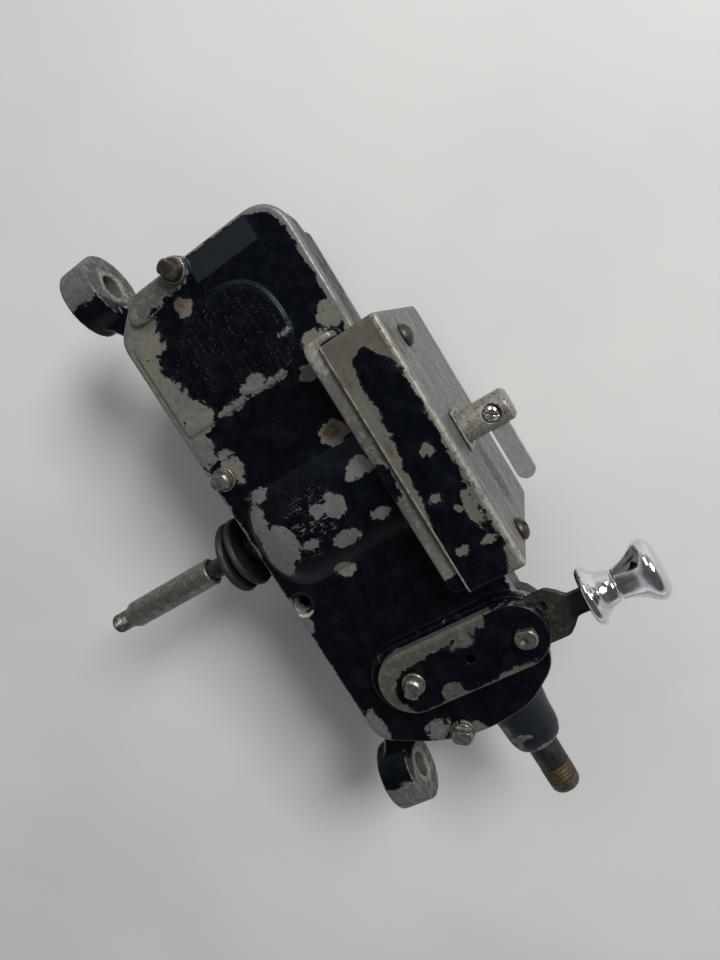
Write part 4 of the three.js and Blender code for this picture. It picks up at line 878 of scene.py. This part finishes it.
def build_lid():
    lid = slab("switch_box_lid_shell", lid_outline(0), "y", LID_FRONT, LID_BACK, 1.3)
    cut(
        lid,
        slab("inside", lid_outline(SHEET), "y", LID_FRONT - 1, LID_BACK - SHEET, 0.5),
        bar(5.5, (SWITCH_X, SWITCH_Z), "y", 39, 44),
        *[bar(1.9, spot, "y", 39, 44) for spot in LID_SCREWS],
    )
    soften(lid, 0.3, 2)
    points = mesh_arrays(lid)[0]
    x, y, z = points.T
    # the upper side face keeps its enamel inside a ragged border
    low = np.interp(x, [-45, -36.5, -34, -27, -20, -10, -3, 7, 19, 38],
                    [60, 33, 29.8, 28.6, 29.2, 28.4, 27.2, 26.6, 24.4, 22])
    high = np.interp(x, [-45, -36.5, -32, -27, -19, -8, 8, 14, 18, 28, 36, 38],
                     [20, 35.4, 38.6, 40, 40.6, 40.6, 40, 38.8, 40, 40.3, 38, 36.5])
    bare_top = -np.minimum.reduce([y - low, high - y, (x + 37) * 0.9])
    # the other walls are half painted, the big face is bare
    wall = np.where(z < 80, 0.4 - 2.2 * ((x > 30) | (x < -40)), bare_top)
    face = y > LID_BACK - 0.25
    bare = np.where(face & (z < 80.6), 5.0, np.where(z > 80.6, bare_top, wall))
    chips = patch_field(points, spots(
        LID_TOP, 2, (-3.8, 35.5, 1.9, 2), (17, 37.6, 5.5, 1.8), (26.3, 28.8, 1.5, 1.7), (26.8, 37.6, 1, 2.2),
        (9.3, 29.8, 1.4, 1.8), (14.6, 34, 1.1, 0.9),
    ))
    lip = (z > 80.4) & (y < LID_FRONT + 0.5)
    left_end = np.clip(1.0 - (x + 43) / 20, 0, 1)
    ridge = np.abs(y - 41.6) < 0.9
    beige = np.where(z > 80, 0.8 + 0.3 * left_end, np.where(face, 0.1, 0.5))
    smudges = patch_field(points, [
        *[((sx, LID_BACK, sz - 2), (7, 3, 7)) for sx, sz in LID_SCREWS],
        ((SWITCH_X, LID_BACK, SWITCH_Z), (12, 3, 9)), ((20, LID_BACK, 45), (16, 3, 10)),
        ((-34, LID_BACK, 76), (9, 3, 5)),
    ])
    rust = np.where(z > 80, 0.06 + 0.16 * left_end, 0.03)
    rusty = patch_field(points, spots(
        LID_TOP, 3, (-36, 40.5, 4.5, 1.6), (-31, 26, 3.5, 1.2), (-9, 26, 4, 1.2),
    ))
    store(
        lid, bare=into_bare(np.where(lip, 4.0, np.maximum(bare, chips + 0.4))),
        beige=np.where((ridge & (z > 80)) | lip, 0.3, beige),
        polished=np.where(lip, 0.8, np.where(ridge & (z > 79), 0.5, 0.0)),
        dirt=np.clip(np.maximum(smudges / 2.2, 0.3 * left_end * (z > 80)), 0, 0.75),
        rust=np.clip(np.maximum(np.where(ridge, 0.05, rust), rusty * 0.9), 0, 0.8),
    )
    finish_piece(lid, "case", lid_steel, "switch_box_lid")


def slotted_screw(name, head, height, shank, length, slot_width=1.0):
    """A round-head screw along Z with the underside of its head at zero."""
    dome = [(head * math.cos(a), height * math.sin(a)) for a in [math.pi / 2 * k / 14 for k in range(14)]]
    profile = [(0, -length), (shank, -length), (shank, 0.0), (head - 0.15, 0.0)] + dome + [(0, height)]
    screw = lathe(name, profile, "z", (0, 0), 64)
    cut(screw, block("slot", -head - 1, head + 1, -slot_width / 2, slot_width / 2, height - 1.1, height + 1))
    return soften(screw, 0.14, 2)


def move_to(obj, spot, spin=0.0, along_y=False):
    """Puts a piece drawn along Z at a point in millimetres, pointing along Y if asked."""
    turn = Matrix.Rotation(spin, 4, "Z")
    if along_y:
        turn = Matrix.Rotation(-math.pi / 2, 4, "X") @ turn
    obj.data.transform(Matrix.Translation(Vector(spot) * MM) @ turn)
    return obj


def build_switch():
    for side, spot, spin in (("left", LID_SCREWS[0], 0.3), ("right", LID_SCREWS[1], 0.7)):
        screw = slotted_screw(f"lid_screw_{side}_head", 3.7, 2.5, 1.55, 7)
        move_to(screw, (spot[0], LID_BACK + 0.3, spot[1]), spin, True)
        finish_piece(screw, "case", brown_steel, f"lid_screw_{side}")

    plate = block("shaft_guide_plate", -8, 5.2, 42.8, 43.6, 54, 66, 0.2)
    cut(plate, bar(5.5, (SWITCH_X, SWITCH_Z), "y", 40, 46))
    soften(plate, 0.2, 1)
    finish_piece(plate, "case", bare_steel, "shaft_plate")

    shaft = lathe("switch_shaft_turned", soft_profile([
        (0, 27.5), (2.8, 27.5), (2.8, 35.7), (5.1, 35.7), (5.1, 58.2), (4.1, 59.3), (0, 59.3),
    ], 0.25), "y", (SWITCH_X, SWITCH_Z), 96)
    cut(
        shaft,
        block("lever_slot", SWITCH_X - 4.3, SWITCH_X + 9, 50, 56.6, SWITCH_Z - 1.5, SWITCH_Z + 1.5),
        bar(1.5, (SWITCH_X, LEVER_Y), "z", SWITCH_Z, SWITCH_Z + 9),
        bar(2.9, (SWITCH_X, LEVER_Y), "z", SWITCH_Z + 3.4, SWITCH_Z + 9),
    )
    soften(shaft, 0.16, 2)
    finish_piece(shaft, "switch", shaft_steel, "switch_shaft")

    half = 3.0
    tip = [(SWITCH_X + 20 + half * math.sin(a), LEVER_Y - half * math.cos(a))
           for a in (math.pi * k / 24 for k in range(25))]
    lever_shape = [(SWITCH_X - 4, LEVER_Y - half)] + tip + [(SWITCH_X - 4, LEVER_Y + half)]
    lever = slab("switch_lever_blade", lever_shape, "z", SWITCH_Z - 1.15, SWITCH_Z + 1.15)
    soften(lever, 0.15, 12)
    finish_piece(lever, "switch", lever_plate, "switch_lever")

    screw = slotted_screw("lever_screw_head", 2.5, 1.5, 1.2, 2.1, 0.7)
    move_to(screw, (SWITCH_X, LEVER_Y, SWITCH_Z + 3.7), 0.9)
    finish_piece(screw, "switch", plated, "lever_screw")


# ---- cover bolts

def flat_sided_bolt(name, head, height, flats, shank, length):
    """A bolt along Z: a round head with two flats over a thin collar."""
    top = lathe(name, soft_profile([
        (0, 0.0), (head, 0.0), (head, height - 0.9), (head - 0.8, height), (0, height),
    ], 0.35), "z", (0, 0), 64)
    combine(top, [block("flats", -head - 1, head + 1, -flats / 2, flats / 2, -1, height + 1)], "INTERSECT")
    add(top, slab("collar", ring(head), "z", 0, 0.9, 0.2), bar(shank, (0, 0), "z", -length, 0.2))
    return soften(top, 0.13, 1)


def split_washer(name, outer, inner, thickness):
    profile = [(inner, 0.1), (inner + 0.1, 0), (outer - 0.15, 0), (outer, 0.15), (outer, thickness - 0.2),
               (outer - 0.2, thickness), (inner + 0.1, thickness), (inner, thickness - 0.1)]
    washer = lathe(name, profile, "z", (0, 0), 72)
    cut(washer, block("split", inner - 1, outer + 1, -0.4, 0.4, -1, thickness + 1))
    return soften(washer, 0.12, 1)


def build_bolts():
    for name, (x, y, seat), spin in zip(BOLTS, BOLTS.values(), (0.5, 1.27, 1.0)):
        low = COVER_TOP + seat + 0.3
        washer = split_washer(f"spring_washer_{name}_ring", 3.95, 2.8, 1.3)
        move_to(washer, (x, y, low), 2 + spin)
        finish_piece(washer, "case", bolt_steel, f"spring_washer_{name}")
        bolt = flat_sided_bolt(f"cover_bolt_{name}_head", 3.5, 3.6, 4.4, 2.5, 18)
        move_to(bolt, (x, y, low + 1.6), spin)
        slot, look = ("rusty_steel", brown_steel) if name == "left" else ("fastener_steel", bolt_steel)
        finish_piece(bolt, "case", look, f"cover_bolt_{name}")


# ---- park slide, its cover and the knob

def build_slide():
    top, centre, start, end, half_width = 77.6, 58.1, -8.6, 27.2, 10.7
    cover = slab("slide_cover_plate", obround(centre, start, end, half_width, 48), "z", 73.7, top, 0.9)
    cut(
        cover,
        slab("track", obround(centre, 0, 19.5, 6.5), "z", 72, 75.7),
        bar(1.5, (58.7, 12.2), "z", 72, top + 1),
        *[bar(2.3, spot, "z", 72, top + 1) for spot in (SLIDE_FRONT, SLIDE_REAR)],
    )
    soften(cover, 0.26, 2)
    points = mesh_arrays(cover)[0]
    x, y = points.T[:2]
    from_rim = half_width - np.hypot(x - centre, y - np.clip(y, start, end))
    left_band = np.interp(y, [-19, -8, 4, 14, 21, 23.5, 26], [7.4, 5.6, 4.6, 3.8, 3.4, -0.2, -1.5])
    right_band = np.interp(y, [-19, -15, -11, -3, 0, 5, 7, 15, 18, 25, 28, 33],
                           [6.5, 4.0, 0.5, 0.5, 2.0, 2.2, 0.5, 0.6, 2.0, 2.2, 1.4, -0.6])
    share = np.clip((x - 56.5) / 4, 0, 1)
    bare = left_band * (1 - share) + right_band * share - from_rim
    bare = np.where(from_rim < 0.5, np.maximum(bare, np.where(y > 25, -0.4, 0.5)), bare)
    patches = patch_field(points, spots(top, 3, (52.6, 13, 2.2, 4.5), (65.5, 2, 2.6, 3.4)))
    store(cover, bare=into_bare(bare, patches), beige=0.8, rust=0.14,
          dirt=np.where(from_rim < 1.2, 0.25, 0.6))
    finish_piece(cover, "case", slide_enamel, "slide_cover")

    washer = move_to(split_washer("slide_washer_ring", 3.7, 2.3, 1.2), (*SLIDE_FRONT, top + 0.3))
    finish_piece(washer, "case", bolt_steel, "slide_washer")
    front = flat_sided_bolt("slide_screw_front_head", 3.4, 3.6, 4.2, 2.0, 12.7)
    move_to(front, (*SLIDE_FRONT, top + 1.8), 2.48)
    finish_piece(front, "case", bolt_steel, "slide_screw_front")

    rear_head = [(0, 0), (3.5, 0), (3.5, 1.7), (2.9, 2.4), (0, 2.4)]
    rear = lathe("slide_screw_rear_head", rear_head, "z", (0, 0), 64)
    combine(rear, [block("flats", -5, 5, -2.8, 2.8, -1, 4)], "INTERSECT")
    add(rear, bar(2.0, (0, 0), "z", -11.2, 0.3))
    cut(rear, bar(1.2, (-0.7, 0), "z", 1.1, 4, 32))
    soften(rear, 0.14, 2)
    move_to(rear, (*SLIDE_REAR, top + 0.3), 1.3)
    finish_piece(rear, "case", bolt_steel, "slide_screw_rear")

    half, bar_half, shoulder = 8.1, 3.6, 41.5
    right = [(half, 2, 0.5), (half, shoulder, 1.2), (half - 2.1, shoulder + 2.5, 0.8),
             (bar_half, shoulder + 4.7, 0.8), (bar_half, 50.5, 0.2)]
    left = [(-a, b, r) for a, b, r in reversed(right)]
    shape = outline([(KNOB_X + a, b, r) for a, b, r in right + left])
    slide = slab("park_slide_bar", shape, "z", 70.9, 73.1)
    cut(
        slide,
        slab("screw_slot", obround(SLIDE_REAR[0], SLIDE_REAR[1] - 9, SLIDE_REAR[1] + 0.4, 2.6), "z", 69, 75),
        block("window", KNOB_X - 5.0, KNOB_X - 2.2, 36.6, 39.4, 71.5, 75),
    )
    soften(slide, 0.22, 2)
    finish_piece(slide, "park_knob", oily_steel, "park_slide")

    base = soft_profile([(0, 50.8), (8.2, 50.8), (9, 51.6), (9, 53.0), (7.9, 53.7), (6.3, 55.2), (5.3, 57.2),
                         (4.8, 59.6), (0, 59.6)], 0.7, 6)
    cap = soft_profile([(0, 59.9), (4.8, 59.9), (5, 61.6), (5.7, 63.8), (6.9, 66), (8.4, 68), (9.2, 69.4),
                        (9.3, 70.6), (8.8, 71.8), (7.4, 72.9), (5, 73.5), (0, 73.7)], 1.0, 6)
    for name, profile in (("knob_base", base), ("knob_cap", cap)):
        knob = lathe(f"{name}_turned", profile, "y", (KNOB_X, KNOB_Z), 128)
        finish_piece(knob, "park_knob", plated, name, angle=50)


# ---- cable nozzle, spindle and grommets

def bored_lathe(name, outer, bore, axis, centre, sides=96):
    """A turned tube: an outer profile and a straight bore."""
    first, last = outer[0][1], outer[-1][1]
    loop = soft_profile([(bore, first), *outer, (bore, last)], 0.18)
    return lathe(name, loop, axis, centre, sides)


def build_nozzle():
    centre = (GLAND_Y, GLAND_Z)
    tube = [(5.4, 108.3), (5.35, 113), (5.3, 117.4)]
    neck = bored_lathe("cable_nozzle_tube", tube, CABLE_BORE, "x", centre)
    finish_piece(neck, "case", tube_black, "cable_nozzle", angle=50)
    grooves = [(5.3, 117.7)]
    for x in (119.2, 120.5, 121.9):
        grooves += [(5.35, x - 0.3), (5.0, x), (5.35, x + 0.3)]
    collar = bored_lathe("nozzle_collar", grooves + [(5.3, 123.2)], CABLE_BORE, "x", centre)
    finish_piece(collar, "case", ring_brown, "nozzle_ring", angle=60)
    end = bored_lathe("nozzle_end_bush", [(5.3, 123.5), (5.2, 126.2), (4.6, 127.3)], CABLE_BORE, "x", centre)
    finish_piece(end, "case", end_brown, "nozzle_end", angle=50)


def build_spindle():
    centre = (0, SPINDLE_Z)
    tip = -111
    thread = [(3.0, tip), (3.5, tip + 0.6)]
    for k in range(8):
        y = tip + 1.0 + 0.75 * k
        thread += [(3.6, y), (3.6, y + 0.2), (3.28, y + 0.48)]
    outer = thread + [(3.6, tip + 7), (5.0, tip + 10), (5.0, -63.4), (4.6, -63)]
    loop = [(0, tip)] + outer + [(4.0, -63), (4.0, -66.5), (2.6, -66.5), (2.6, -99.5), (0, -99.5)]
    sleeve = lathe("spindle_sleeve_turned", loop, "y", centre, 96)
    cut(sleeve, bar(1.7, (tip + 14, SPINDLE_Z), "x", 1, 7, 32))
    y = mesh_arrays(sleeve)[0][:, 1]
    store(sleeve, dirt=np.interp(y, [tip, tip + 7, tip + 12, -72, -63], [1.0, 0.85, 0.3, 0.15, 0.5]))
    finish_piece(sleeve, "spindle", sleeve_steel, "spindle_sleeve", angle=32)

    for name, back in (("inner", -44.8), ("outer", -49.6)):
        profile = soft_profile([(11.8, back - 2.8), (12.8, back - 2.1), (13, back - 1.3), (12.2, back)], 0.7)
        disc = bored_lathe(f"grommet_{name}_disc", profile, 5.3, "y", centre, 128)
        if name == "outer":
            turn_about(disc, math.radians(-6), (0, back - 1.4, SPINDLE_Z))
        finish_piece(disc, "case", rubber, f"grommet_{name}", angle=60)


build_cover()
build_housing()
build_lid()
build_switch()
build_bolts()
build_slide()
build_nozzle()
build_spindle()


# ---- floor, light and camera

def floor_material():
    t = Surface("pale_tabletop")
    tone = t.ramp((140, 4, 0.5), 0.3, 0.7)
    colour = t.mix(tone, (0.60, 0.605, 0.60), (0.66, 0.66, 0.65))
    mark = t.ramp((4.0, 5, 0.7), 0.74, 0.80)
    colour = t.mix(t.times(mark, 0.25), colour, (0.45, 0.44, 0.42))
    return t.set(
        Base_Color=colour,
        Roughness=t.ramp((30, 4, 0.6), 0.3, 0.7, 0.42, 0.55),
        Specular_IOR_Level=0.3,
        Normal=t.bump(t.noise(1.2, 3), 0.02, 0.2),
    )


floor = slab("tabletop", [(-1500, -1500), (1500, -1500), (1500, 1500), (-1500, 1500)], "z", -20, -0.02)
floor.data.materials.append(floor_material())

world = bpy.data.worlds.new("studio")
world.use_nodes = True
# a pale horizon under a darker ceiling, with soft patches for the plating to mirror
sky = Nodes(world.node_tree, "Generated", 1.0)
height = sky.node("ShaderNodeSeparateXYZ", {0: sky.place}).outputs[2]
patches = sky.ramp(sky.noise(1 / 1.7, 1.0, 0.5), 0.42, 0.6, 0.82, 1.2)
background = sky.tree.nodes["Background"]
background.inputs["Color"].default_value = (0.95, 0.98, 1.0, 1)
sky.link(sky.times(sky.ramp(height, 0.02, 0.5, 0.66, 0.11), patches), background.inputs["Strength"])
scene.world = world


def area_light(name, spot, size, power, colour):
    """A square light aimed at the case, in metres and watts."""
    data = bpy.data.lights.new(name, "AREA")
    data.shape = "RECTANGLE"
    data.size = data.size_y = size
    data.energy = power
    data.color = colour
    lamp = bpy.data.objects.new(name, data)
    lamp.location = spot
    lamp.rotation_euler = (Vector((0, 0, 0.04)) - Vector(spot)).to_track_quat("-Z", "Y").to_euler()
    scene.collection.objects.link(lamp)


area_light("window", (-0.52, 1.25, 1.235), 0.65, 36, (1.0, 0.985, 0.965))
area_light("far_window", (-1.1, 0.2, 0.9), 0.8, 3.6, (0.97, 0.985, 1.0))

camera_data = bpy.data.cameras.new("camera")
camera_data.lens = 26.25
camera_data.sensor_width = 36
camera_data.clip_start = 0.01
camera = bpy.data.objects.new("camera", camera_data)
right = Vector((0.526, 0.823, -0.215)).normalized()
forward = Vector((0.110, -0.316, -0.942)).normalized()
up = right.cross(forward).normalized()
right = forward.cross(up).normalized()
camera.matrix_world = Matrix.Translation(Vector((-27.8, 77.1, 270)) * MM) @ Matrix((
    *((right[k], up[k], -forward[k], 0) for k in range(3)), (0, 0, 0, 1),
))
scene.collection.objects.link(camera)
scene.camera = camera
scene.view_settings.view_transform = "Standard"
